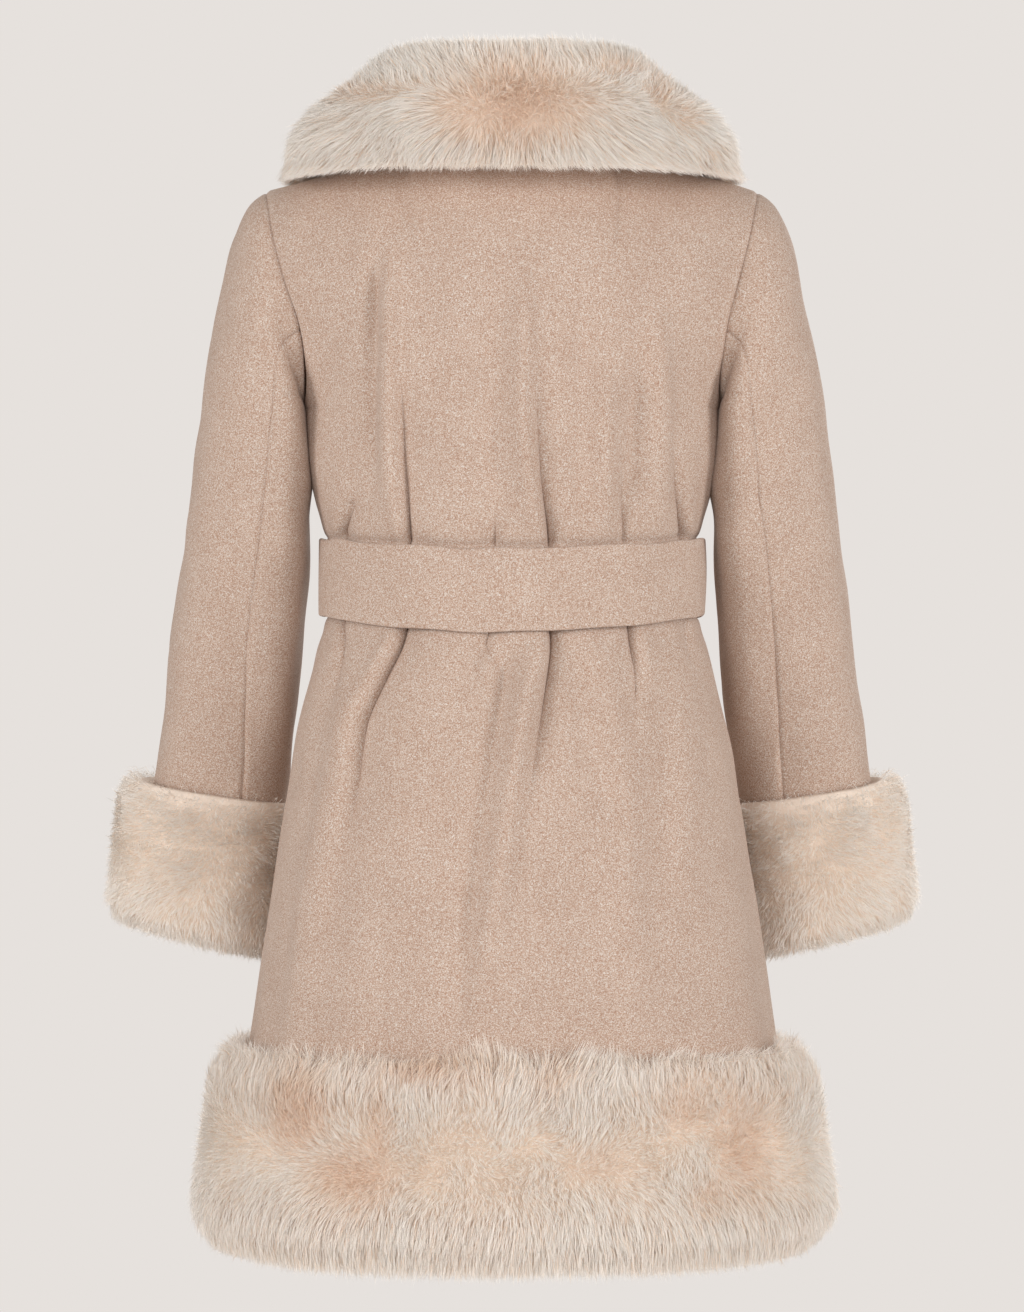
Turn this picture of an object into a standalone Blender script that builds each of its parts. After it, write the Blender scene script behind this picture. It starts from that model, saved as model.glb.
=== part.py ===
"""Fur-trimmed wool coat, filled out as if worn, with nobody in it.

Metres, +Z up. The back of the coat faces -Y, the front faces +Y and +X is
the right-hand side. The origin is between the shoulders at the base of the
neck, half way through the depth of the coat, where it is held up.
"""

import math
from collections import namedtuple

import bpy
import numpy as np

# ------------------------------------------------------------- driving sizes
COAT = "fur_trimmed_coat"
CLOTH = 0.0025  # wall of the wool cloth
SEAM = 0.0005  # gap between two sewn pieces
LAP = 0.0036  # how far the right front stands out over the left front
LAP_X = 0.035  # each front runs this far past the centre line
SQUARE = 0.035  # how much fuller than an ellipse the body rings are

PIT_Z = -0.205  # underarm level
TIP_X, TIP_Z = 0.2000, -0.0285  # shoulder tip
NECK_X, NECK_Z = 0.075, 0.010  # side of the neck, on the shoulder seam
NAPE_Y, NAPE_Z = -0.066, -0.008  # centre back of the neckline
ARMHOLE_DEPTH = 0.060  # armhole's reach to the back and to the front
HEM_Z = -0.868  # lower edge of the wool panels

BELT_TOP, BELT_BOTTOM = -0.310, -0.3735  # at the side seams
BELT_SAG = 0.011  # the belt hangs lower at centre back
BELT_WALL = 0.0040
BELT_GAP = 0.0013

FUR_GAP = 0.0014  # fur trims stand off the cloth under them
HEM_FUR_TOP, HEM_FUR_BOTTOM = -0.722, -0.884

# Level rings of the body: half width, and how far back and front reach.
Ring = namedtuple("Ring", "z half_width back front")
BODY = (
    Ring(-0.9000, 0.2350, 0.178, 0.176),
    Ring(-0.7175, 0.2132, 0.163, 0.161),
    Ring(-0.6500, 0.2041, 0.155, 0.153),
    Ring(-0.5250, 0.1830, 0.137, 0.136),
    Ring(-0.4756, 0.1755, 0.129, 0.128),
    Ring(-0.4220, 0.1625, 0.118, 0.117),
    Ring(-0.4000, 0.1572, 0.113, 0.112),
    Ring(-0.3850, 0.1525, 0.109, 0.108),
    Ring(-0.3720, 0.1503, 0.107, 0.106),
    Ring(-0.3110, 0.1503, 0.107, 0.106),
    Ring(-0.2970, 0.1535, 0.110, 0.109),
    Ring(-0.2790, 0.1582, 0.114, 0.113),
    Ring(-0.2430, 0.1622, 0.1165, 0.1175),
    Ring(PIT_Z, 0.1640, 0.1170, 0.1195),
)

# The armhole's distance from the centre line at each level.
Edge = namedtuple("Edge", "z back front")
ARMHOLE = (
    Edge(PIT_Z, 0.1640, 0.1640),
    Edge(-0.1700, 0.1665, 0.1630),
    Edge(-0.1380, 0.1720, 0.1655),
    Edge(-0.1000, 0.1835, 0.1755),
    Edge(-0.0620, 0.1935, 0.1885),
    Edge(TIP_Z, TIP_X, TIP_X),
)

# Centre lines of the upper body and the front neckline, from underarm (0)
# to shoulder (1).
Rise = namedtuple("Rise", "w back_y front_y neckline_x")
UPPER = (
    Rise(0.00, -0.1170, 0.1195, -LAP_X),
    Rise(0.25, -0.1168, 0.1180, -0.008),
    Rise(0.60, -0.1110, 0.1040, 0.034),
    Rise(0.85, -0.0940, 0.0660, 0.061),
    Rise(1.00, NAPE_Y, 0.000, NECK_X),
)

# Sleeve sections: the outer and the inner point of each, seen from behind,
# then how far forward its middle is and its half depth.
Section = namedtuple("Section", "out_x out_z in_x in_z mid_y half_depth")
SLEEVE = (
    Section(0.2120, -0.0375, 0.1745, -0.2050, 0.000, 0.0610),
    Section(0.2275, -0.0700, 0.1728, -0.2210, 0.002, 0.0640),
    Section(0.2375, -0.1180, 0.1708, -0.2430, 0.006, 0.0650),
    Section(0.2495, -0.1800, 0.1690, -0.2730, 0.013, 0.0650),
    Section(0.2603, -0.2500, 0.1683, -0.3130, 0.025, 0.0640),
    Section(0.2708, -0.3250, 0.1712, -0.3620, 0.041, 0.0625),
    Section(0.2817, -0.4000, 0.1779, -0.4220, 0.062, 0.0605),
    Section(0.2925, -0.4750, 0.1860, -0.4900, 0.086, 0.0585),
    Section(0.3023, -0.5400, 0.1925, -0.5620, 0.106, 0.0570),
    Section(0.3118, -0.6070, 0.1975, -0.6380, 0.122, 0.0560),
    Section(0.3143, -0.6250, 0.1987, -0.6585, 0.126, 0.0557),
)
SLEEVE_END = 10.0  # section at which the wool sleeve stops, inside the cuff
BACK_SEAM, FRONT_SEAM = math.radians(103), math.radians(252)
CUFF_TOP, CUFF_BOTTOM = 8.30, 11.0
# Reach of the cuff's fur at the outer, back, inner and front side.
CUFF_REACH = (0.026, 0.022, 0.012, 0.020)

# Folds pressed into the cloth by the belt: a trough (depth below zero) or a
# ridge runs from (x0, z0) at the belt to (x1, z1), where it has died out.
# side is -1 on the back and +1 on the front.
Fold = namedtuple("Fold", "side x0 z0 x1 z1 half_width depth")
FOLDS = (
    Fold(-1, -0.0843, -0.314, -0.0970, -0.170, 0.0110, -0.0050),
    Fold(-1, -0.1050, -0.314, -0.1130, -0.140, 0.0150, 0.0030),
    Fold(-1, 0.0276, -0.317, 0.0165, -0.165, 0.0115, -0.0050),
    Fold(-1, 0.0480, -0.317, 0.0440, -0.210, 0.0150, 0.0022),
    Fold(-1, 0.1403, -0.312, 0.1260, -0.210, 0.0110, -0.0040),
    Fold(-1, -0.0891, -0.382, -0.1160, -0.455, 0.0110, -0.0055),
    Fold(-1, -0.0600, -0.382, -0.0700, -0.480, 0.0160, 0.0026),
    Fold(-1, 0.0300, -0.385, 0.0215, -0.500, 0.0115, -0.0055),
    Fold(-1, 0.0560, -0.385, 0.0600, -0.480, 0.0160, 0.0025),
    Fold(-1, 0.0963, -0.382, 0.1125, -0.445, 0.0105, -0.0040),
    Fold(1, 0.0750, -0.312, 0.0850, -0.200, 0.0120, -0.0045),
    Fold(1, -0.0820, -0.312, -0.0900, -0.215, 0.0120, -0.0045),
    Fold(1, 0.0900, -0.376, 0.1040, -0.470, 0.0120, -0.0050),
    Fold(1, -0.0860, -0.376, -0.1000, -0.450, 0.0120, -0.0050),
)
# Long soft flutes of the skirt, growing towards the hem.
Flute = namedtuple("Flute", "count phase_deg depth")
FLUTES = (Flute(7, 20.0, 0.0028), Flute(11, 75.0, 0.0020), Flute(4, 140.0, 0.0022))

# Collar, right half. Round the back of the neck each row gives the seam where
# it is sewn on, its roll (top) and the lower edge of its fall.
Station = namedtuple(
    "Station", "seam_x seam_y seam_z roll_x roll_y roll_z edge_x edge_y edge_z"
)
COLLAR_BACK = (
    Station(0.000, -0.0625, -0.0035, 0.000, -0.078, 0.0905, 0.000, -0.140, -0.022),
    Station(0.030, -0.0575, -0.0010, 0.036, -0.074, 0.0910, 0.072, -0.136, -0.022),
    Station(0.054, -0.0420, 0.0060, 0.068, -0.060, 0.0905, 0.132, -0.114, -0.022),
    Station(0.069, -0.0200, 0.0135, 0.090, -0.034, 0.0880, 0.174, -0.075, -0.021),
    Station(0.0745, 0.0040, 0.0165, 0.101, 0.000, 0.0810, 0.190, -0.018, -0.009),
)
# Down the front each row gives the height on the neckline (1 at the shoulder,
# 0 at the underarm), then the fall's length, thickness and clearance there.
Lapel = namedtuple("Lapel", "w fall thick lift")
COLLAR_FRONT = (
    Lapel(0.900, 0.106, 0.042, 0.0100),
    Lapel(0.750, 0.100, 0.041, 0.0030),
    Lapel(0.580, 0.091, 0.038, 0.0000),
    Lapel(0.420, 0.079, 0.034, 0.0000),
    Lapel(0.300, 0.063, 0.028, 0.0000),
)

# Belt tie at the front.
KNOT_SIZE = (0.052, 0.026, 0.058)
# Hanging ends: top middle x, bottom middle x, bottom z, width.
Tail = namedtuple("Tail", "side top_x bottom_x bottom_z width")
TAILS = (
    Tail("left", -0.020, -0.062, -0.640, 0.056),
    Tail("right", 0.020, 0.055, -0.600, 0.056),
)

# Mesh fineness
BACK_COLS, FRONT_COLS = 20, 10
UPPER_ROWS = 10
LOWER_Z = (
    PIT_Z, -0.232, -0.258, -0.280, -0.296, BELT_TOP + 0.003, -0.342,
    BELT_BOTTOM - 0.003, -0.389, -0.406, -0.432, -0.470, -0.530, -0.610,
    -0.700, -0.790, HEM_Z,
)
SLEEVE_ROWS = 12


# ------------------------------------------------------------------ functions
def pchip(xs, ys):
    """Smooth curve through (xs, ys) that adds no bumps; ys may have columns."""
    xs, ys = np.asarray(xs, float), np.asarray(ys, float)
    order = np.argsort(xs)
    xs, ys = xs[order], ys[order]
    shape = (-1,) + (1,) * (ys.ndim - 1)
    h = np.diff(xs).reshape(shape)
    d = np.diff(ys, axis=0) / h
    m = np.empty_like(ys)
    m[0], m[-1] = d[0], d[-1]
    if len(xs) > 2:
        w1, w2 = 2 * h[1:] + h[:-1], h[1:] + 2 * h[:-1]
        same = d[:-1] * d[1:] > 0
        a = np.where(same, d[:-1], 1.0)
        b = np.where(same, d[1:], 1.0)
        m[1:-1] = np.where(same, (w1 + w2) / (w1 / a + w2 / b), 0.0)

    def at(x):
        x = np.clip(np.asarray(x, float), xs[0], xs[-1])
        i = np.clip(np.searchsorted(xs, x, side="right") - 1, 0, len(xs) - 2)
        tail = (1,) * (ys.ndim - 1)
        t = ((x - xs[i]) / np.diff(xs)[i]).reshape(x.shape + tail)
        hh = np.diff(xs)[i].reshape(x.shape + tail)
        return (
            (2 * t**3 - 3 * t**2 + 1) * ys[i]
            + (t**3 - 2 * t**2 + t) * hh * m[i]
            + (3 * t**2 - 2 * t**3) * ys[i + 1]
            + (t**3 - t**2) * hh * m[i + 1]
        )

    return at


def column(table, key, value):
    return pchip([getattr(r, key) for r in table], [getattr(r, value) for r in table])


def smooth(x, lo, hi):
    t = np.clip((x - lo) / (hi - lo), 0.0, 1.0)
    return t * t * (3 - 2 * t)


half_width = column(BODY, "z", "half_width")
reach_back = column(BODY, "z", "back")
reach_front = column(BODY, "z", "front")
edge_back = column(ARMHOLE, "z", "back")
edge_front = column(ARMHOLE, "z", "front")
mid_back = column(UPPER, "w", "back_y")
mid_front = column(UPPER, "w", "front_y")
neckline = column(UPPER, "w", "neckline_x")


def sag(a):
    """How much lower the belt hangs at angle a from centre back."""
    return BELT_SAG * np.clip(np.cos(a), 0, 1) ** 2


def hang(a, z):
    """How much lower the cloth at level z hangs with the belt."""
    return sag(a) * np.exp(-(((z + 0.345) / 0.09) ** 2))


def fold_height(x, z, side, a):
    """Outward swell of the cloth at (x, z) from the folds and flutes."""
    total = np.zeros(np.broadcast(x, z).shape)
    level = z + sag(a)
    under = smooth(level, BELT_BOTTOM - 0.016, BELT_BOTTOM - 0.003) * (
        1 - smooth(level, BELT_TOP + 0.003, BELT_TOP + 0.016)
    )
    for f in FOLDS:
        if f.side != side:
            continue
        t = (z - f.z0) / (f.z1 - f.z0)
        path = f.x0 + (f.x1 - f.x0) * t
        wide = f.half_width * (1 + 0.5 * np.clip(t, 0, 1))
        fade = smooth(t, -0.12, 0.02) * (1 - smooth(t, 0.15, 1.0))
        total = total + f.depth * fade * np.exp(-(((x - path) / wide) ** 2))
    grow = 1 - smooth(z, HEM_Z, -0.42)
    for f in FLUTES:
        total = total + f.depth * grow * np.cos(f.count * a + math.radians(f.phase_deg))
    return total * (1 - under)


def body_point(a, z, out=0.0):
    """Point of the body below the underarm, a radians round from centre back."""
    a, z = np.broadcast_arrays(np.asarray(a, float), np.asarray(z, float))
    zz = z + hang(a, z)
    wide = half_width(zz)
    deep = np.where(np.cos(a) >= 0, reach_back(zz), reach_front(zz))
    full = 1 + SQUARE * np.sin(2 * a) ** 2
    x, y = wide * np.sin(a) * full, -deep * np.cos(a) * full
    nx, ny = deep * np.sin(a), -wide * np.cos(a)
    n = np.hypot(nx, ny)
    nx, ny = nx / n, ny / n
    side_back = fold_height(x, z, -1, a)
    side_front = fold_height(x, z, 1, a)
    to_back = smooth(np.cos(a), -0.15, 0.15)
    swell = side_back * to_back + side_front * (1 - to_back) + out
    return np.stack([x + nx * swell, y + ny * swell, z + 0 * x], -1)


def armhole_point(phi):
    """Armhole edge: phi 0 at the shoulder tip, pi/2 back, pi underarm, 3pi/2 front."""
    mid, half = (TIP_Z + PIT_Z) / 2, (TIP_Z - PIT_Z) / 2
    z = mid + half * np.cos(phi)
    back = np.sin(phi) >= 0
    x = np.where(back, edge_back(z), edge_front(z))
    return np.stack([x, -ARMHOLE_DEPTH * np.sin(phi), z], -1)


def back_upper(s, phi):
    """Back above the underarm: s from -1 to 1 across, phi as on the armhole."""
    s, phi = np.broadcast_arrays(np.asarray(s, float), np.asarray(phi, float))
    w = (1 + np.cos(phi)) / 2
    e = armhole_point(phi)
    mid = mid_back(w)
    u = np.abs(s)
    # the level ring of the torso is cut off where the armhole crosses it
    cut = np.arccos(np.clip(e[..., 1] / mid, 0, 0.985))
    a = u * cut
    full = 1 + SQUARE * np.sin(math.pi * u) ** 2
    top = w**5
    at_neck = NECK_X / TIP_X
    x = e[..., 0] * ((1 - top) * np.sin(a) / np.sin(cut) * full + top * u)
    neck = np.sqrt(np.clip(1 - (u / at_neck) ** 2, 0, 1))
    h = (1 - top) * (np.cos(a) - np.cos(cut)) / (1 - np.cos(cut)) * full + top * neck
    y = e[..., 1] + (mid - e[..., 1]) * h - SEAM / 2 * smooth(w, 0.5, 1.0)
    rim = np.where(
        u < at_neck,
        NAPE_Z + (NECK_Z - NAPE_Z) * (u / at_neck) ** 2,
        NECK_Z + (TIP_Z - NECK_Z) * (u - at_neck) / (1 - at_neck),
    )
    z = e[..., 2] + (rim - TIP_Z) * w**2
    x = x * np.sign(s)
    swell = fold_height(x, z, -1, s * math.pi / 2) * (1 - smooth(w, 0.55, 0.85))
    return np.stack([x, y - swell * np.cos(a), z], -1)


def lap_ramp(x):
    """1 where the right front lies over the left one, 0 well to its right."""
    return 1 - smooth(x, 0.045, 0.095)


def front_upper(s, phi, sign=1):
    """Front above the underarm: s from 0 at its edge to 1 at the armhole, sign its side."""
    s, phi = np.broadcast_arrays(np.asarray(s, float), np.asarray(phi, float))
    w = (1 + np.cos(phi)) / 2
    e = armhole_point(2 * math.pi - phi)
    mid = mid_front(w)
    cut = np.arccos(np.clip(e[..., 1] / np.maximum(mid, 1e-6), 0, 0.985))
    b0 = np.arcsin(np.clip(neckline(w) / e[..., 0] * np.sin(cut), -1, 1))
    b = b0 + (cut - b0) * s
    full = 1 + SQUARE * np.sin(math.pi * b / cut) ** 2 * (1 - w**3)
    x = e[..., 0] * np.sin(b) / np.sin(cut) * full
    h = (np.cos(b) - np.cos(cut)) / (1 - np.cos(cut)) * full
    y = e[..., 1] + (mid - e[..., 1]) * h + SEAM / 2 * smooth(w, 0.5, 1.0)
    rim = NECK_Z + (TIP_Z - NECK_Z) * (x - NECK_X) / (TIP_X - NECK_X)
    z = e[..., 2] + (rim - TIP_Z) * w**2
    swell = fold_height(sign * x, z, 1, sign * (math.pi - b)) * (1 - smooth(w, 0.55, 0.85))
    return np.stack([sign * x, y + swell * np.cos(b), z], -1), b


def sleeve_rings(phi):
    """Control rings of the right sleeve at the angles phi: armhole, then sections."""
    a = armhole_point(phi)
    low = (1 - np.cos(phi)) / 2  # 0 at the tip, 1 at the underarm
    a = a + np.stack(
        [0.0009 + 0.0056 * low**0.7, 0 * phi, 0.0002 + 0.0042 * low**3], -1
    )
    rings = [a]
    for r in SLEEVE:
        ox, oz, ix, iz = r.out_x, r.out_z, r.in_x, r.in_z
        full = 1 + 0.03 * np.sin(2 * phi) ** 2
        c = np.cos(phi) * full
        rings.append(
            np.stack(
                [
                    (ox + ix) / 2 + (ox - ix) / 2 * c,
                    r.mid_y - r.half_depth * np.sin(phi) * full,
                    (oz + iz) / 2 + (oz - iz) / 2 * c,
                ],
                -1,
            )
        )
    return np.stack(rings)


def sleeve_point(phi, t, out=0.0):
    """Ring of the right sleeve at the angles phi, section number t (0 the armhole)."""
    phi = np.asarray(phi, float)
    e = 1e-3
    rings = sleeve_rings(phi)
    last = len(rings) - 1
    at = pchip(np.arange(last + 1), rings)
    p = at(t)
    if np.any(out):
        dp = pchip(np.arange(last + 1), sleeve_rings(phi + e))(t) - p
        dt = at(min(t + e, last)) - at(min(t, last - e))
        n = np.cross(dp, dt)
        n = n / np.linalg.norm(n, axis=-1, keepdims=True)
        p = p + n * np.broadcast_to(out, phi.shape)[..., None]
    return p


def mirrored(p):
    return p * np.array([-1.0, 1.0, 1.0])


# ------------------------------------------------------------ Blender helpers
def clear_scene():
    for o in list(bpy.data.objects):
        bpy.data.objects.remove(o, do_unlink=True)
    for m in list(bpy.data.meshes):
        bpy.data.meshes.remove(m)


def material(name, colour, roughness):
    m = bpy.data.materials.new(name)
    m.use_nodes = True
    b = m.node_tree.nodes["Principled BSDF"]
    b.inputs["Base Color"].default_value = (*colour, 1.0)
    b.inputs["Roughness"].default_value = roughness
    b.inputs["Metallic"].default_value = 0.0
    return m


def turned_in(verts, faces):
    """True if the faces of a closed mesh point inwards."""
    six = 0.0
    for f in faces:
        for j in range(1, len(f) - 1):
            a, b, c = verts[f[0]], verts[f[j]], verts[f[j + 1]]
            six += float(np.dot(a, np.cross(b, c)))
    return six < 0


def grid_object(name, points, mat, closed_u=False, closed_v=False, caps=False):
    """A mesh from a grid of points (rows u, columns v), faces out by v x u."""
    nu, nv = points.shape[:2]
    verts = points.reshape(-1, 3)
    faces = []
    for i in range(nu if closed_u else nu - 1):
        for j in range(nv if closed_v else nv - 1):
            i1, j1 = (i + 1) % nu, (j + 1) % nv
            faces.append((i * nv + j, i * nv + j1, i1 * nv + j1, i1 * nv + j))
    if caps:  # close the two ends of a run of closed loops
        faces.append(tuple(reversed(range(nv))))
        faces.append(tuple((nu - 1) * nv + j for j in range(nv)))
    if closed_v and turned_in(verts, faces):
        faces = [f[::-1] for f in faces]
    me = bpy.data.meshes.new(name)
    me.from_pydata([tuple(map(float, v)) for v in verts], [], faces)
    me.update()
    me.shade_smooth()
    me.materials.append(mat)
    ob = bpy.data.objects.new(name, me)
    parts.objects.link(ob)
    ob.parent = holder
    return ob


def cloth(name, points, mat):
    """An open panel given its wall outwards from the points."""
    ob = grid_object(name, points, mat)
    mod = ob.modifiers.new("wall", "SOLIDIFY")
    mod.thickness = CLOTH
    mod.offset = 1.0
    mod.use_even_offset = True
    mod.thickness_clamp = 0.0
    return ob


# --------------------------------------------------------------------- panels
def back_panel():
    s = np.linspace(-1, 1, BACK_COLS + 1)
    rows = []
    for phi in np.linspace(0, math.pi, UPPER_ROWS + 1)[:-1]:
        rows.append(back_upper(s, phi))
    for z in LOWER_Z:
        gap = SEAM / 2 / half_width(z)
        a = s * (math.pi / 2 - gap)
        rows.append(body_point(a, z - hang(a, z)))
    return np.stack(rows)


def lap_lift(p, b):
    """The right front's points moved out over the left front."""
    lift = LAP * lap_ramp(p[..., 0])
    return p + np.stack([0.45 * lift * np.sin(b), lift, 0.45 * lift], -1)


def lap_angle(z):
    """Angle past centre front at which each front ends."""
    return np.arcsin(LAP_X / half_width(z))


def front_panel(sign):
    """Grid of the right (1) or left (-1) front, its edge first. Right is over left."""
    s = np.linspace(0, 1, FRONT_COLS + 1)
    rows = []
    for phi in np.linspace(0, math.pi, UPPER_ROWS + 1)[:-1]:
        p, b = front_upper(s, phi, sign)
        rows.append(lap_lift(p, b) if sign > 0 else p)
    for z in LOWER_Z:
        gap = SEAM / 2 / half_width(z)
        b0 = -lap_angle(z)
        b = b0 + (math.pi / 2 - gap - b0) * s
        x = half_width(z) * np.sin(b)
        out = LAP * lap_ramp(x) if sign > 0 else 0.0
        rows.append(body_point(sign * (math.pi - b), z, out))
    return np.stack(rows)


def sleeve_panel(phi0, phi1, cols):
    gap = SEAM / 2 / 0.06
    phi = np.linspace(phi0 + gap, phi1 - gap, cols + 1)
    t = SLEEVE_END * np.linspace(0, 1, SLEEVE_ROWS + 1) ** 1.05
    return np.stack([sleeve_point(phi, x) for x in t])


# ----------------------------------------------------------------------- trims
def loop_profile(n_side, n_end):
    """Rounded band profile: (along 0..1, reach 0..1), inner side up, outer side down."""
    out = [(t, 0.0) for t in np.linspace(1, 0, n_side + 1)]
    turn = np.linspace(0, math.pi / 2, n_end + 1)[1:]
    for q in turn:
        out.append((0.20 * (1 - math.cos(q)), math.sin(q)))
    for t in np.linspace(0.20, 0.80, n_side)[1:]:
        out.append((t, 1.0))
    for q in turn[::-1][1:]:
        out.append((1 - 0.20 * (1 - math.cos(q)), math.sin(q)))
    return np.array(out)


def cuff():
    prof = loop_profile(3, 3)
    phi = np.linspace(0, 2 * math.pi, 20, endpoint=False)
    quarter = np.array([0, math.pi / 2, math.pi, 3 * math.pi / 2, 2 * math.pi])
    reach = np.interp(phi, quarter, CUFF_REACH + CUFF_REACH[:1])
    rings = []
    for along, r in prof:
        t = CUFF_TOP + (CUFF_BOTTOM - CUFF_TOP) * along
        out = CLOTH + FUR_GAP + 0.0004 + reach * r
        rings.append(sleeve_point(phi, t, out))
    return np.stack(rings)  # rows go round the profile, columns round the arm


def hem_reach(along):
    return 0.028 + 0.004 * np.clip(along / 0.75, 0, 1)


def hem_band(start, end, cols, over):
    """Closed run of fur along the hem between the angles start(z) and end(z)."""
    prof = loop_profile(3, 3)
    z = HEM_FUR_TOP + (HEM_FUR_BOTTOM - HEM_FUR_TOP) * prof[:, 0]
    rows = []
    for t in np.linspace(0, 1, cols + 1):
        a = start(z) + (end(z) - start(z)) * t
        stand = CLOTH + FUR_GAP
        if over:
            stand = stand + LAP * lap_ramp(half_width(z) * np.sin(a))
        rows.append(body_point(a, z, stand + hem_reach(prof[:, 0]) * prof[:, 1]))
    return np.stack(rows)


def belt_stand(a):
    """Height of the belt's inner face over the body ring at angle a."""
    x = 0.155 * np.sin(a)
    front = np.cos(a) < 0
    left = smooth(x, -0.085, -0.045)
    return CLOTH + BELT_GAP + np.where(front, LAP * lap_ramp(x) * left, 0.0)


def belt_ring():
    a = np.concatenate(
        [
            np.linspace(-0.5, 0.5, BACK_COLS, endpoint=False),
            np.linspace(0.5, 1.5, 2 * FRONT_COLS + 4, endpoint=False),
        ]
    ) * math.pi
    rows = []
    prof = [(0, 0), (0.5, 0), (1, 0), (1, 1), (0.5, 1), (0, 1)]
    for along, r in prof:
        z = BELT_TOP + (BELT_BOTTOM - BELT_TOP) * along - sag(a)
        rows.append(body_point(a, z, belt_stand(a) + BELT_WALL * r))
    return np.stack(rows)


def belt_tail(tail):
    """Flat hanging end of the belt, following the front with a little clearance."""
    rows = []
    for t in np.linspace(0, 1, 8):
        z = BELT_BOTTOM - 0.002 + (tail.bottom_z - BELT_BOTTOM) * t
        mid = tail.top_x + (tail.bottom_x - tail.top_x) * t
        wide = tail.width * (0.62 + 0.38 * smooth(t, 0.0, 0.25))
        x = mid + np.linspace(-wide / 2, wide / 2, 5)
        b = np.arcsin(x / half_width(z))
        out = CLOTH + LAP + 0.0025 + 0.004 * (1 - t)
        rows.append(body_point(math.pi - b, np.full_like(b, z), out))
    return np.stack(rows)


def unit(v):
    return v / np.linalg.norm(v)


def collar_loop(row):
    """Closed section of the collar: up the neck side, over the roll, down the fall."""
    s = np.array([row.seam_x, row.seam_y, row.seam_z])
    r = np.array([row.roll_x, row.roll_y, row.roll_z])
    e = np.array([row.edge_x, row.edge_y, row.edge_z])
    outward = unit((e - s) * np.array([1, 1, 0]))
    up = np.array([0, 0, 1.0])
    fall = unit(e - r)
    return np.stack(
        [
            s,
            (s + r) / 2 - outward * 0.002,
            r - outward * 0.010 - up * 0.014,
            r - outward * 0.003 - up * 0.002,
            r + outward * 0.010 - up * 0.001,
            r + fall * 0.034 + outward * 0.008 + up * 0.006,
            (r + e) / 2 + fall * 0.008 + outward * 0.012 + up * 0.010,
            e - fall * 0.020 + outward * 0.006 + up * 0.006,
            e + up * 0.002,
            e - outward * 0.014 - up * 0.001,
            e + (s - e) * 0.72 + up * 0.006,
            s + outward * 0.012 + up * 0.006,
        ]
    )


def lapel_loop(row):
    """The same section where the collar lies along the front neckline."""
    phi = math.acos(2 * row.w - 1)

    def panel(s, q):
        p, b = front_upper(np.array([s]), np.array([q]))
        return lap_lift(p, b)[0]

    p = panel(0.0, phi)
    across = unit(panel(0.06, phi) - p)  # over the chest, away from the neck
    along = unit(panel(0.0, phi - 0.05) - p)  # up the neckline
    off = unit(np.cross(across, along))  # off the chest
    if off[1] < 0:
        off = -off
    clear = CLOTH + LAP + 0.0015 + row.lift
    f, h = row.fall, row.thick
    return np.stack(
        [
            p + across * x + off * (clear + y)
            for x, y in (
                (0.000, 0.000),
                (-0.006, 0.35 * h),
                (-0.006, 0.75 * h),
                (0.002, 0.98 * h),
                (0.016, 1.06 * h),
                (0.33 * f, 1.08 * h),
                (0.60 * f, 0.98 * h),
                (0.86 * f, 0.72 * h),
                (1.00 * f, 0.36 * h),
                (0.94 * f, 0.06 * h),
                (0.45 * f, 0.000),
                (0.15 * f, 0.000),
            )
        ]
    )


def collar():
    keys = [collar_loop(r) for r in COLLAR_BACK] + [lapel_loop(r) for r in COLLAR_FRONT]
    t = np.linspace(0, len(keys) - 1, 13)
    right = list(pchip(np.arange(len(keys)), np.stack(keys))(t))
    left = [mirrored(p) for p in right[:0:-1]]
    return np.stack(left + right)


# ----------------------------------------------------------------------- build
clear_scene()
parts = bpy.data.collections.new(COAT)
bpy.context.scene.collection.children.link(parts)
holder = bpy.data.objects.new("held_at_shoulders", None)
holder.empty_display_size = 0.05
parts.objects.link(holder)

wool = material("wool", (0.560, 0.425, 0.340), 0.95)
fur = material("fur", (0.700, 0.560, 0.460), 0.90)

cloth("back", back_panel()[:, ::-1], wool)
cloth("front_right", front_panel(1), wool)
cloth("front_left", front_panel(-1)[:, ::-1], wool)

for side, flip in (("right", False), ("left", True)):
    for piece, phi0, phi1, cols in (
        ("upper", FRONT_SEAM - 2 * math.pi, BACK_SEAM, 9),
        ("under", BACK_SEAM, FRONT_SEAM, 6),
    ):
        p = sleeve_panel(phi0, phi1, cols)
        p = mirrored(p) if flip else p[:, ::-1]
        cloth(f"sleeve_{side}_{piece}", p[:, ::-1], wool)
    c = cuff()
    c = mirrored(c) if flip else c[:, ::-1]
    grid_object(f"cuff_{side}", c, fur, closed_u=True, closed_v=True)

seam_angle = SEAM / 2 / 0.22
side_seam = math.pi / 2
bands = (
    ("hem_fur_back", lambda z: seam_angle - side_seam, lambda z: side_seam - seam_angle, BACK_COLS, False),
    ("hem_fur_front_right", lambda z: side_seam + seam_angle, lambda z: math.pi + lap_angle(z), FRONT_COLS, True),
    (
        "hem_fur_front_left",
        lambda z: math.pi + lap_angle(z) + 4 * seam_angle,
        lambda z: 3 * side_seam - seam_angle,
        FRONT_COLS - 2,
        False,
    ),
)
for name, start, end, cols, over in bands:
    grid_object(name, hem_band(start, end, cols, over), fur, closed_v=True, caps=True)

grid_object("collar", collar(), fur, closed_v=True, caps=True)

grid_object("belt", belt_ring(), wool, closed_u=True, closed_v=True)

for tail in TAILS:
    ob = grid_object(f"belt_tail_{tail.side}", belt_tail(tail), wool)
    mod = ob.modifiers.new("wall", "SOLIDIFY")
    mod.thickness = 0.0035
    mod.offset = 1.0

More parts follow.
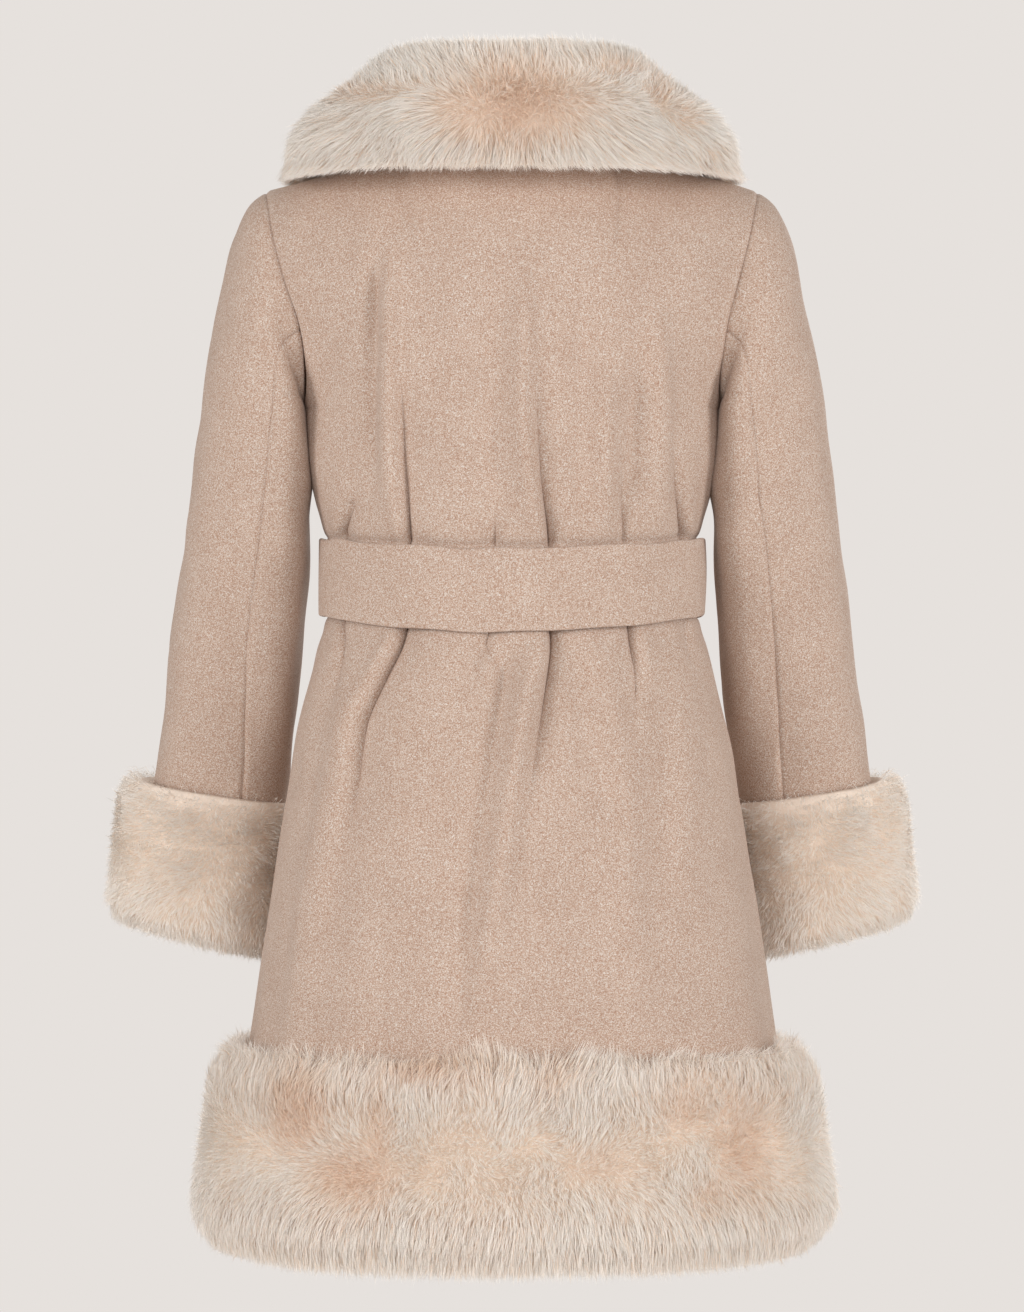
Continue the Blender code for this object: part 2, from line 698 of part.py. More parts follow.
knot_y = float(body_point(math.pi, (BELT_TOP + BELT_BOTTOM) / 2, 0.0)[1])
knot_y += CLOTH + LAP + BELT_GAP + BELT_WALL + 0.0006
bpy.ops.mesh.primitive_uv_sphere_add(segments=14, ring_count=8, radius=0.5)
knot = bpy.context.object
knot.name = "belt_knot"
for c in list(knot.users_collection):
    c.objects.unlink(knot)
parts.objects.link(knot)
for v in knot.data.vertices:
    x, y, z = v.co
    # a soft block: rounder than a box, fuller than a ball
    g = (abs(2 * x) ** 3 + abs(2 * y) ** 3 + abs(2 * z) ** 3) ** (1 / 3)
    x, y, z = x / g, y / g, z / g
    v.co = (x * KNOT_SIZE[0], max(y, -0.36) * KNOT_SIZE[1], z * KNOT_SIZE[2])
knot.location = (0.0, knot_y + 0.36 * KNOT_SIZE[1], (BELT_TOP + BELT_BOTTOM) / 2)
knot.parent = holder
knot.data.materials.append(wool)
knot.data.shade_smooth()
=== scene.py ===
"""Looks of the fur-trimmed wool coat: creased cloth shells, fur pile, materials, light.

Metres, +Z up, in the same frame as the solids. The back of the coat faces -Y.
"""

import json
import math
from collections import namedtuple

import bpy
import numpy as np
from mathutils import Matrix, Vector


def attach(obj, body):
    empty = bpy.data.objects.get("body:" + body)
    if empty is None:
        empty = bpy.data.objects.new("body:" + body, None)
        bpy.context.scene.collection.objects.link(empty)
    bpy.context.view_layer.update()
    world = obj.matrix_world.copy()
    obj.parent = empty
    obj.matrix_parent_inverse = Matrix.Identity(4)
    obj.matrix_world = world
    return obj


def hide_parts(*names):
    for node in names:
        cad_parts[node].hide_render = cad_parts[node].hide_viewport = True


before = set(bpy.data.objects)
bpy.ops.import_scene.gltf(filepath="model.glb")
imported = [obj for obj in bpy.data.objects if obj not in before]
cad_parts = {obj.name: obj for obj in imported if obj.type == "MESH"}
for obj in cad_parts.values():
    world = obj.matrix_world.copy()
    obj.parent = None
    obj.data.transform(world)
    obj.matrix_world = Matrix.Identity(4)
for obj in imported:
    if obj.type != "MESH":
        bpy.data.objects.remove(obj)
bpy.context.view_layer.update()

# --------------------------------------------------------- sizes of the solids
CLOTH = 0.0025
SEAM = 0.0005
LAP = 0.0036
LAP_X = 0.035
SQUARE = 0.035
PIT_Z = -0.205
TIP_X, TIP_Z = 0.2000, -0.0285
NECK_X, NECK_Z = 0.075, 0.010
NAPE_Y, NAPE_Z = -0.066, -0.008
ARMHOLE_DEPTH = 0.060
HEM_Z = -0.868
BELT_TOP, BELT_BOTTOM = -0.310, -0.3735
BELT_SAG = 0.011
BELT_WALL = 0.0040
BELT_GAP = 0.0013
FUR_GAP = 0.0014
HEM_FUR_TOP, HEM_FUR_BOTTOM = -0.722, -0.884

Ring = namedtuple("Ring", "z half_width back front")
BODY = (
    Ring(-0.9000, 0.2350, 0.178, 0.176),
    Ring(-0.7175, 0.2132, 0.163, 0.161),
    Ring(-0.6500, 0.2041, 0.155, 0.153),
    Ring(-0.5250, 0.1830, 0.137, 0.136),
    Ring(-0.4756, 0.1755, 0.129, 0.128),
    Ring(-0.4220, 0.1625, 0.118, 0.117),
    Ring(-0.4000, 0.1572, 0.113, 0.112),
    Ring(-0.3850, 0.1525, 0.109, 0.108),
    Ring(-0.3720, 0.1503, 0.107, 0.106),
    Ring(-0.3110, 0.1503, 0.107, 0.106),
    Ring(-0.2970, 0.1535, 0.110, 0.109),
    Ring(-0.2790, 0.1582, 0.114, 0.113),
    Ring(-0.2430, 0.1622, 0.1165, 0.1175),
    Ring(PIT_Z, 0.1640, 0.1170, 0.1195),
)
Edge = namedtuple("Edge", "z back front")
ARMHOLE = (
    Edge(PIT_Z, 0.1640, 0.1640),
    Edge(-0.1700, 0.1665, 0.1630),
    Edge(-0.1380, 0.1720, 0.1655),
    Edge(-0.1000, 0.1835, 0.1755),
    Edge(-0.0620, 0.1935, 0.1885),
    Edge(TIP_Z, TIP_X, TIP_X),
)
Rise = namedtuple("Rise", "w back_y front_y neckline_x")
UPPER = (
    Rise(0.00, -0.1170, 0.1195, -LAP_X),
    Rise(0.25, -0.1168, 0.1180, -0.008),
    Rise(0.60, -0.1110, 0.1040, 0.034),
    Rise(0.85, -0.0940, 0.0660, 0.061),
    Rise(1.00, NAPE_Y, 0.000, NECK_X),
)
Section = namedtuple("Section", "out_x out_z in_x in_z mid_y half_depth")
SLEEVE = (
    Section(0.2120, -0.0375, 0.1745, -0.2050, 0.000, 0.0610),
    Section(0.2275, -0.0700, 0.1728, -0.2210, 0.002, 0.0640),
    Section(0.2375, -0.1180, 0.1708, -0.2430, 0.006, 0.0650),
    Section(0.2495, -0.1800, 0.1690, -0.2730, 0.013, 0.0650),
    Section(0.2603, -0.2500, 0.1683, -0.3130, 0.025, 0.0640),
    Section(0.2708, -0.3250, 0.1712, -0.3620, 0.041, 0.0625),
    Section(0.2817, -0.4000, 0.1779, -0.4220, 0.062, 0.0605),
    Section(0.2925, -0.4750, 0.1860, -0.4900, 0.086, 0.0585),
    Section(0.3023, -0.5400, 0.1925, -0.5620, 0.106, 0.0570),
    Section(0.3118, -0.6070, 0.1975, -0.6380, 0.122, 0.0560),
    Section(0.3143, -0.6250, 0.1987, -0.6585, 0.126, 0.0557),
)
SLEEVE_END = 10.0
BACK_SEAM, FRONT_SEAM = math.radians(103), math.radians(252)
CUFF_TOP, CUFF_BOTTOM = 8.30, 11.0
CUFF_REACH = (0.026, 0.022, 0.012, 0.020)
Flute = namedtuple("Flute", "count phase_deg depth")
FLUTES = (Flute(7, 20.0, 0.0028), Flute(11, 75.0, 0.0020), Flute(4, 140.0, 0.0022))
Station = namedtuple(
    "Station", "seam_x seam_y seam_z roll_x roll_y roll_z edge_x edge_y edge_z"
)
COLLAR_BACK = (
    Station(0.000, -0.0625, -0.0035, 0.000, -0.078, 0.0905, 0.000, -0.130, -0.0165),
    Station(0.030, -0.0575, -0.0010, 0.036, -0.074, 0.0910, 0.072, -0.126, -0.0165),
    Station(0.054, -0.0420, 0.0060, 0.068, -0.060, 0.0905, 0.132, -0.106, -0.0170),
    Station(0.069, -0.0200, 0.0135, 0.090, -0.034, 0.0880, 0.172, -0.071, -0.0190),
    Station(0.0745, 0.0040, 0.0165, 0.101, 0.000, 0.0810, 0.184, -0.018, -0.0150),
)
Lapel = namedtuple("Lapel", "w fall thick lift")
COLLAR_FRONT = (
    Lapel(0.900, 0.106, 0.042, 0.0100),
    Lapel(0.750, 0.100, 0.041, 0.0030),
    Lapel(0.580, 0.091, 0.038, 0.0000),
    Lapel(0.420, 0.079, 0.034, 0.0000),
    Lapel(0.300, 0.063, 0.028, 0.0000),
)
KNOT_SIZE = (0.052, 0.026, 0.058)
Tail = namedtuple("Tail", "side top_x bottom_x bottom_z width")
TAILS = (
    Tail("left", -0.020, -0.062, -0.640, 0.056),
    Tail("right", 0.020, 0.055, -0.600, 0.056),
)

# --------------------------------------------------------------- creases
# Lines that the creases follow, as (level, distance across) from top to hem.
BACK_TRACKS = (
    ((-0.10, -0.1180), (-0.205, -0.1210), (-0.256, -0.1245), (-0.282, -0.1300), (-0.306, -0.1375),
     (-0.372, -0.1380), (-0.394, -0.1355), (-0.443, -0.1410), (-0.60, -0.1700), (-0.868, -0.2000)),
    ((-0.10, -0.0915), (-0.185, -0.0897), (-0.250, -0.0877), (-0.312, -0.0838), (-0.372, -0.0872), (-0.382, -0.0891),
     (-0.422, -0.1050), (-0.462, -0.1195), (-0.522, -0.1250), (-0.622, -0.1450), (-0.868, -0.1700)),
    ((-0.10, -0.0160), (-0.240, -0.0165), (-0.312, -0.0130), (-0.372, -0.0175), (-0.385, -0.0196),
     (-0.426, -0.0050), (-0.474, -0.0052), (-0.518, -0.0156), (-0.578, -0.0292), (-0.642, -0.0396), (-0.868, -0.0560)),
    ((-0.10, 0.0165), (-0.186, 0.0177), (-0.250, 0.0217), (-0.314, 0.0295), (-0.372, 0.0304),
     (-0.385, 0.0308), (-0.443, 0.0244), (-0.495, 0.0164), (-0.546, 0.0124), (-0.868, 0.0080)),
    ((-0.10, 0.0830), (-0.215, 0.0858), (-0.312, 0.0907), (-0.372, 0.0955), (-0.382, 0.0963),
     (-0.414, 0.0995), (-0.466, 0.0963), (-0.868, 0.1050)),
    ((-0.10, 0.1180), (-0.214, 0.1235), (-0.262, 0.1315), (-0.312, 0.1405), (-0.372, 0.1400), (-0.443, 0.1480), (-0.868, 0.1960)),
)
FRONT_TRACKS_RIGHT = (
    ((-0.10, 0.0780), (-0.250, 0.0360), (-0.312, 0.0330), (-0.376, 0.0400), (-0.460, 0.0470), (-0.868, 0.0600)),
    ((-0.10, 0.0980), (-0.200, 0.0850), (-0.312, 0.0750), (-0.376, 0.0900), (-0.470, 0.1040), (-0.868, 0.1300)),
    ((-0.10, 0.1350), (-0.220, 0.1250), (-0.312, 0.1180), (-0.376, 0.1270), (-0.470, 0.1420), (-0.868, 0.1850)),
)
FRONT_TRACKS_LEFT = (
    ((-0.10, 0.0800), (-0.240, 0.0420), (-0.312, 0.0390), (-0.376, 0.0450), (-0.460, 0.0530), (-0.868, 0.0700)),
    ((-0.10, 0.1000), (-0.215, 0.0900), (-0.312, 0.0820), (-0.376, 0.0860), (-0.450, 0.1000), (-0.868, 0.1250)),
    ((-0.10, 0.1320), (-0.230, 0.1260), (-0.312, 0.1230), (-0.376, 0.1230), (-0.470, 0.1370), (-0.868, 0.1800)),
)
# A crease on a track: from the belt's edge to the level where it has died out,
# depth of its trough, height of the roll beside it (which side) and its width.
Crease = namedtuple("Crease", "track belt end trough roll side width")
BACK_CREASES = (
    Crease(0, BELT_TOP, -0.250, 0.0085, 0.0015, -1, 0.0075),
    Crease(1, BELT_TOP, -0.088, 0.0112, 0.0030, -1, 0.0085),
    Crease(2, BELT_TOP, -0.262, 0.0036, 0.0009, 1, 0.0080),
    Crease(3, BELT_TOP, -0.095, 0.0100, 0.0030, -1, 0.0100),
    Crease(4, BELT_TOP, -0.200, 0.0042, 0.0012, 1, 0.0080),
    Crease(5, BELT_TOP, -0.195, 0.0092, 0.0020, 1, 0.0080),
    Crease(0, BELT_BOTTOM, -0.480, 0.0045, 0.0018, -1, 0.0090),
    Crease(1, BELT_BOTTOM, -0.660, 0.0125, 0.0040, -1, 0.0105),
    Crease(2, BELT_BOTTOM, -0.440, 0.0048, 0.0010, -1, 0.0120),
    Crease(3, BELT_BOTTOM, -0.600, 0.0118, 0.0036, -1, 0.0105),
    Crease(4, BELT_BOTTOM, -0.500, 0.0078, 0.0018, 1, 0.0085),
    Crease(5, BELT_BOTTOM, -0.430, 0.0024, 0.0009, 1, 0.0090),
)
FRONT_CREASES = (
    Crease(0, BELT_TOP, -0.235, 0.0036, 0.0011, -1, 0.0080),
    Crease(1, BELT_TOP, -0.170, 0.0067, 0.0025, 1, 0.0100),
    Crease(2, BELT_TOP, -0.215, 0.0050, 0.0017, 1, 0.0085),
    Crease(0, BELT_BOTTOM, -0.450, 0.0042, 0.0014, -1, 0.0090),
    Crease(1, BELT_BOTTOM, -0.600, 0.0078, 0.0031, 1, 0.0105),
    Crease(2, BELT_BOTTOM, -0.500, 0.0056, 0.0020, 1, 0.0090),
)
# Long soft swells and hollows between (x0, z0) and (x1, z1).
Swell = namedtuple("Swell", "x0 z0 x1 z1 half_width height")
BACK_SWELLS = (
    Swell(-0.1080, -0.070, -0.1145, -0.330, 0.0060, -0.0051),
    Swell(-0.0988, -0.070, -0.0940, -0.330, 0.0056, 0.0049),
    Swell(-0.1270, -0.200, -0.1250, -0.330, 0.0070, -0.0024),
    Swell(-0.0110, -0.100, -0.0110, -0.330, 0.0095, -0.0041),
    Swell(0.0085, -0.090, 0.0150, -0.330, 0.0075, 0.0043),
    Swell(0.0560, -0.130, 0.0590, -0.330, 0.0080, -0.0034),
    Swell(0.0735, -0.170, 0.0735, -0.330, 0.0080, 0.0044),
    Swell(0.0990, -0.160, 0.0960, -0.330, 0.0080, -0.0044),
    Swell(0.1165, -0.120, 0.1195, -0.330, 0.0080, 0.0054),
    Swell(-0.1215, -0.378, -0.1790, -0.760, 0.0100, 0.0054),
    Swell(-0.0600, -0.380, -0.0900, -0.760, 0.0240, 0.0024),
    Swell(-0.0195, -0.366, -0.0370, -0.445, 0.0052, -0.0046),
    Swell(-0.0010, -0.385, -0.0330, -0.580, 0.0078, -0.0054),
    Swell(-0.0230, -0.520, -0.0500, -0.740, 0.0090, -0.0041),
    Swell(0.0185, -0.380, -0.0290, -0.710, 0.0085, 0.0051),
    Swell(0.0420, -0.380, 0.0930, -0.590, 0.0100, -0.0046),
    Swell(0.0720, -0.385, 0.1000, -0.700, 0.0110, 0.0024),
    Swell(0.1240, -0.410, 0.1100, -0.640, 0.0095, -0.0032),
    Swell(0.1330, -0.385, 0.1450, -0.700, 0.0120, 0.0030),
)


# ---------------------------------------------------------------- plain functions
def pchip(xs, ys):
    """Smooth curve through (xs, ys) that adds no bumps; ys may have columns."""
    xs, ys = np.asarray(xs, float), np.asarray(ys, float)
    order = np.argsort(xs)
    xs, ys = xs[order], ys[order]
    shape = (-1,) + (1,) * (ys.ndim - 1)
    h = np.diff(xs).reshape(shape)
    d = np.diff(ys, axis=0) / h
    m = np.empty_like(ys)
    m[0], m[-1] = d[0], d[-1]
    if len(xs) > 2:
        w1, w2 = 2 * h[1:] + h[:-1], h[1:] + 2 * h[:-1]
        same = d[:-1] * d[1:] > 0
        a = np.where(same, d[:-1], 1.0)
        b = np.where(same, d[1:], 1.0)
        m[1:-1] = np.where(same, (w1 + w2) / (w1 / a + w2 / b), 0.0)

    def at(x):
        x = np.clip(np.asarray(x, float), xs[0], xs[-1])
        i = np.clip(np.searchsorted(xs, x, side="right") - 1, 0, len(xs) - 2)
        tail = (1,) * (ys.ndim - 1)
        t = ((x - xs[i]) / np.diff(xs)[i]).reshape(x.shape + tail)
        hh = np.diff(xs)[i].reshape(x.shape + tail)
        return (
            (2 * t**3 - 3 * t**2 + 1) * ys[i]
            + (t**3 - 2 * t**2 + t) * hh * m[i]
            + (3 * t**2 - 2 * t**3) * ys[i + 1]
            + (t**3 - t**2) * hh * m[i + 1]
        )

    return at


def column(table, key, value):
    return pchip([getattr(r, key) for r in table], [getattr(r, value) for r in table])


def smooth(x, lo, hi):
    t = np.clip((x - lo) / (hi - lo), 0.0, 1.0)
    return t * t * (3 - 2 * t)


def unit(v):
    return v / np.maximum(np.linalg.norm(v, axis=-1, keepdims=True), 1e-12)


def waves(p, size, seed, n=9):
    """Smooth seeded noise of about unit strength, with swells of about that size."""
    rng = np.random.default_rng(seed)
    k = unit(rng.normal(size=(n, 3))) * (2 * math.pi / size) * rng.uniform(0.55, 1.35, (n, 1))
    return np.sin(p @ k.T + rng.uniform(0, 2 * math.pi, n)).sum(-1) * math.sqrt(2 / n)


half_width = column(BODY, "z", "half_width")
reach_back = column(BODY, "z", "back")
reach_front = column(BODY, "z", "front")
edge_back = column(ARMHOLE, "z", "back")
edge_front = column(ARMHOLE, "z", "front")
mid_back = column(UPPER, "w", "back_y")
mid_front = column(UPPER, "w", "front_y")
neckline = column(UPPER, "w", "neckline_x")


# ------------------------------------------------------------- form of the panels
def sag(a):
    return BELT_SAG * np.clip(np.cos(a), 0, 1) ** 2


def hang(a, z):
    return sag(a) * np.exp(-(((z + 0.345) / 0.09) ** 2))


def flutes(a, z):
    grow = 1 - smooth(z, HEM_Z, -0.42)
    return sum(f.depth * grow * np.cos(f.count * a + math.radians(f.phase_deg)) for f in FLUTES)


def body_point(a, z, out=0.0):
    """Point of the body below the underarm, a radians round from centre back."""
    a, z = np.broadcast_arrays(np.asarray(a, float), np.asarray(z, float))
    zz = z + hang(a, z)
    wide = half_width(zz)
    deep = np.where(np.cos(a) >= 0, reach_back(zz), reach_front(zz))
    full = 1 + SQUARE * np.sin(2 * a) ** 2
    x, y = wide * np.sin(a) * full, -deep * np.cos(a) * full
    nx, ny = deep * np.sin(a), -wide * np.cos(a)
    n = np.hypot(nx, ny)
    swell = flutes(a, z) + out
    return np.stack([x + nx / n * swell, y + ny / n * swell, z + 0 * x], -1)


def armhole_point(phi):
    mid, half = (TIP_Z + PIT_Z) / 2, (TIP_Z - PIT_Z) / 2
    z = mid + half * np.cos(phi)
    x = np.where(np.sin(phi) >= 0, edge_back(z), edge_front(z))
    return np.stack([x, -ARMHOLE_DEPTH * np.sin(phi), z], -1)


def back_upper(s, phi):
    """Back above the underarm: s from -1 to 1 across, phi as on the armhole."""
    s, phi = np.broadcast_arrays(np.asarray(s, float), np.asarray(phi, float))
    w = (1 + np.cos(phi)) / 2
    e = armhole_point(phi)
    mid = mid_back(w)
    u = np.abs(s)
    cut = np.arccos(np.clip(e[..., 1] / mid, 0, 0.985))
    a = u * cut
    full = 1 + SQUARE * np.sin(math.pi * u) ** 2
    top = w**5
    at_neck = NECK_X / TIP_X
    x = e[..., 0] * ((1 - top) * np.sin(a) / np.sin(cut) * full + top * u)
    neck = np.sqrt(np.clip(1 - (u / at_neck) ** 2, 0, 1))
    h = (1 - top) * (np.cos(a) - np.cos(cut)) / (1 - np.cos(cut)) * full + top * neck
    y = e[..., 1] + (mid - e[..., 1]) * h - SEAM / 2 * smooth(w, 0.5, 1.0)
    rim = np.where(
        u < at_neck,
        NAPE_Z + (NECK_Z - NAPE_Z) * (u / at_neck) ** 2,
        NECK_Z + (TIP_Z - NECK_Z) * (u - at_neck) / (1 - at_neck),
    )
    z = e[..., 2] + (rim - TIP_Z) * w**2
    return np.stack([x * np.sign(s), y, z], -1)


def lap_ramp(x):
    return 1 - smooth(x, 0.045, 0.095)


def front_upper(s, phi, sign=1):
    """Front above the underarm: s from 0 at its edge to 1 at the armhole."""
    s, phi = np.broadcast_arrays(np.asarray(s, float), np.asarray(phi, float))
    w = (1 + np.cos(phi)) / 2
    e = armhole_point(2 * math.pi - phi)
    mid = mid_front(w)
    cut = np.arccos(np.clip(e[..., 1] / np.maximum(mid, 1e-6), 0, 0.985))
    b0 = np.arcsin(np.clip(neckline(w) / e[..., 0] * np.sin(cut), -1, 1))
    b = b0 + (cut - b0) * s
    full = 1 + SQUARE * np.sin(math.pi * b / cut) ** 2 * (1 - w**3)
    x = e[..., 0] * np.sin(b) / np.sin(cut) * full
    h = (np.cos(b) - np.cos(cut)) / (1 - np.cos(cut)) * full
    y = e[..., 1] + (mid - e[..., 1]) * h + SEAM / 2 * smooth(w, 0.5, 1.0)
    rim = NECK_Z + (TIP_Z - NECK_Z) * (x - NECK_X) / (TIP_X - NECK_X)
    z = e[..., 2] + (rim - TIP_Z) * w**2
    return np.stack([sign * x, y, z], -1), b


def lap_lift(p, b):
    lift = LAP * lap_ramp(p[..., 0])
    return p + np.stack([0.45 * lift * np.sin(b), lift, 0.45 * lift], -1)


def lap_angle(z):
    return np.arcsin(LAP_X / half_width(z))


def sleeve_rings(phi):
    """Control rings of the right sleeve at the angles phi: armhole, then sections."""
    a = armhole_point(phi)
    low = (1 - np.cos(phi)) / 2
    a = a + np.stack([0.0004 + 0.0061 * low**4, 0 * phi, 0.0002 + 0.0042 * low**3], -1)
    rings = [a]
    for r in SLEEVE:
        full = 1 + 0.03 * np.sin(2 * phi) ** 2
        c = np.cos(phi) * full
        rings.append(
            np.stack(
                [
                    (r.out_x + r.in_x) / 2 + (r.out_x - r.in_x) / 2 * c,
                    r.mid_y - r.half_depth * np.sin(phi) * full,
                    (r.out_z + r.in_z) / 2 + (r.out_z - r.in_z) / 2 * c,
                ],
                -1,
            )
        )
    return np.stack(rings)


def sleeve_point(phi, t, out=0.0):
    """Ring of the right sleeve at the angles phi, section number t (0 the armhole)."""
    phi = np.asarray(phi, float)
    e = 1e-3
    rings = sleeve_rings(phi)
    last = len(rings) - 1
    at = pchip(np.arange(last + 1), rings)
    p = at(t)
    if np.any(out):
        dp = pchip(np.arange(last + 1), sleeve_rings(phi + e))(t) - p
        dt = at(min(t + e, last)) - at(min(t, last - e))
        p = p + unit(np.cross(dp, dt)) * np.broadcast_to(out, phi.shape)[..., None]
    return p


MIRROR = np.array([-1.0, 1.0, 1.0])


# --------------------------------------------------------------------- mesh tools
def new_mesh(name, verts, quads=None, tris=None):
    quads = np.zeros((0, 4), int) if quads is None else np.asarray(quads)
    tris = np.zeros((0, 3), int) if tris is None else np.asarray(tris)
    me = bpy.data.meshes.new(name)
    me.vertices.add(len(verts))
    me.vertices.foreach_set("co", np.asarray(verts, np.float32).ravel())
    loops = np.concatenate([quads.ravel(), tris.ravel()]).astype(np.int32)
    starts = np.concatenate(
        [np.arange(len(quads)) * 4, 4 * len(quads) + np.arange(len(tris)) * 3]
    ).astype(np.int32)
    me.loops.add(len(loops))
    me.loops.foreach_set("vertex_index", loops)
    me.polygons.add(len(starts))
    me.polygons.foreach_set("loop_start", starts)
    me.update(calc_edges=True)
    me.validate()
    me.shade_smooth()
    return me


def add_object(name, me, mat):
    me.materials.append(mat)
    ob = bpy.data.objects.new(name, me)
    bpy.context.scene.collection.objects.link(ob)
    return ob


def grid_quads(nu, nv, closed_u=False, closed_v=False):
    i = np.arange(nu if closed_u else nu - 1)[:, None]
    j = np.arange(nv if closed_v else nv - 1)[None]
    i1, j1 = (i + 1) % nu, (j + 1) % nv
    return np.stack(
        np.broadcast_arrays(i * nv + j, i * nv + j1, i1 * nv + j1, i1 * nv + j), -1
    ).reshape(-1, 4)


def grid_normals(p, centre, closed_u=False, closed_v=False):
    """Normals of a grid of points, away from the centre points."""
    def slope(axis, closed):
        if closed:
            return np.roll(p, -1, axis) - np.roll(p, 1, axis)
        return np.gradient(p, axis=axis)

    n = unit(np.cross(slope(1, closed_v), slope(0, closed_u)))
    turned = np.sum(n * (p - centre)) < 0
    return (-n if turned else n), turned


def area_of(p):
    d1, d2 = p[1:, 1:] - p[:-1, :-1], p[1:, :-1] - p[:-1, 1:]
    return float(np.linalg.norm(np.cross(d1, d2), axis=-1).sum() / 2)


def shell(name, p, centre, mat, outer=CLOTH, inner=0.0004):
    """A thin closed shell of cloth standing out from the grid of points."""
    n, turned = grid_normals(p, centre)
    nu, nv = p.shape[:2]
    verts = np.concatenate([(p + n * outer).reshape(-1, 3), (p + n * inner).reshape(-1, 3)])
    quads = grid_quads(nu, nv)
    rim = np.concatenate(
        [
            np.arange(nv),
            np.arange(1, nu) * nv + nv - 1,
            (nu - 1) * nv + np.arange(nv - 2, -1, -1),
            np.arange(nu - 2, 0, -1) * nv,
        ]
    )
    nxt = np.roll(rim, -1)
    side = np.stack([rim, rim + nu * nv, nxt + nu * nv, nxt], -1)
    quads = np.concatenate([quads, quads[:, ::-1] + nu * nv, side])
    if turned:
        quads = quads[:, ::-1]
    me = new_mesh(name, verts, quads)
    me.set_sharp_from_angle(angle=math.radians(70))
    return add_object(name, me, mat)


def tube(name, p, mat, closed_v=True, caps=False):
    """A closed mesh from a grid whose rows (u) are closed loops or not."""
    nu, nv = p.shape[:2]
    verts = p.reshape(-1, 3)
    quads = grid_quads(nu, nv, closed_u=not caps, closed_v=closed_v)
    tris = np.zeros((0, 3), int)
    if caps:
        ends = np.stack([p[0].mean(0), p[-1].mean(0)])
        j = np.arange(nv)
        j1 = (j + 1) % nv
        base = nu * nv
        first = np.stack([j1, j, 0 * j + base], -1)
        last = np.stack([(nu - 1) * nv + j, (nu - 1) * nv + j1, 0 * j + base + 1], -1)
        verts = np.concatenate([verts, ends])
        tris = np.concatenate([first, last])
    a, b, c = (verts[quads[:, i]] for i in (0, 1, 2))
    six = np.sum(a * np.cross(b, c)) + np.sum(a * np.cross(c, verts[quads[:, 3]]))
    if len(tris):
        six += np.sum(verts[tris[:, 0]] * np.cross(verts[tris[:, 1]], verts[tris[:, 2]]))
    if six < 0:
        quads, tris = quads[:, ::-1], tris[:, ::-1]
    return add_object(name, new_mesh(name, verts, quads, tris), mat)


def wall(name, outside, inside, mat):
    """A hollow closed tube with a thin wall: rows are closed loops, ends have lids."""
    nu, nv = outside.shape[:2]
    quads = grid_quads(nu, nv, closed_v=True)
    j = np.arange(nv)
    j1 = (j + 1) % nv
    verts, faces, tris = [], [], []
    for k, p in enumerate((outside, inside)):
        base = k * (nu * nv + 2)
        verts.append(np.concatenate([p.reshape(-1, 3), [p[0].mean(0)], [p[-1].mean(0)]]))
        lids = np.concatenate(
            [
                np.stack([j1, j, 0 * j + nu * nv], -1),
                np.stack([(nu - 1) * nv + j, (nu - 1) * nv + j1, 0 * j + nu * nv + 1], -1),
            ]
        )
        faces.append((quads if k == 0 else quads[:, ::-1]) + base)
        tris.append((lids if k == 0 else lids[:, ::-1]) + base)
    v, q, t = np.concatenate(verts), np.concatenate(faces), np.concatenate(tris)
    a, b, c = (v[faces[0][:, i]] for i in (0, 1, 2))
    if np.sum(a * np.cross(b, c)) < 0:
        q, t = q[:, ::-1], t[:, ::-1]
    return add_object(name, new_mesh(name, v, q, t), mat)


# ---------------------------------------------------------------------- materials
def node(tree, kind, **inputs):
    n = tree.nodes.new(kind)
    for k, v in inputs.items():
        n.inputs[k.replace("_", " ")].default_value = v
    return n


def start_material(name):
    m = bpy.data.materials.new(name)
    m.use_nodes = True
    return m, m.node_tree, m.node_tree.nodes["Principled BSDF"]


def ramp(tree, stops):
    r = tree.nodes.new("ShaderNodeValToRGB")
    e = r.color_ramp.elements
    while len(e) < len(stops):
        e.new(0.5)
    for item, (pos, colour) in zip(e, stops):
        item.position = pos
        item.color = (*colour, 1.0)
    return r


def mix_colour(tree, kind, factor, a, b):
    m = tree.nodes.new("ShaderNodeMix")
    m.data_type = "RGBA"
    m.blend_type = kind
    for socket, value in zip((m.inputs[0], m.inputs[6], m.inputs[7]), (factor, a, b)):
        if isinstance(value, bpy.types.NodeSocket):
            tree.links.new(value, socket)
        elif isinstance(value, tuple):
            socket.default_value = (*value, 1.0)
        else:
            socket.default_value = value
    return m.outputs[2]


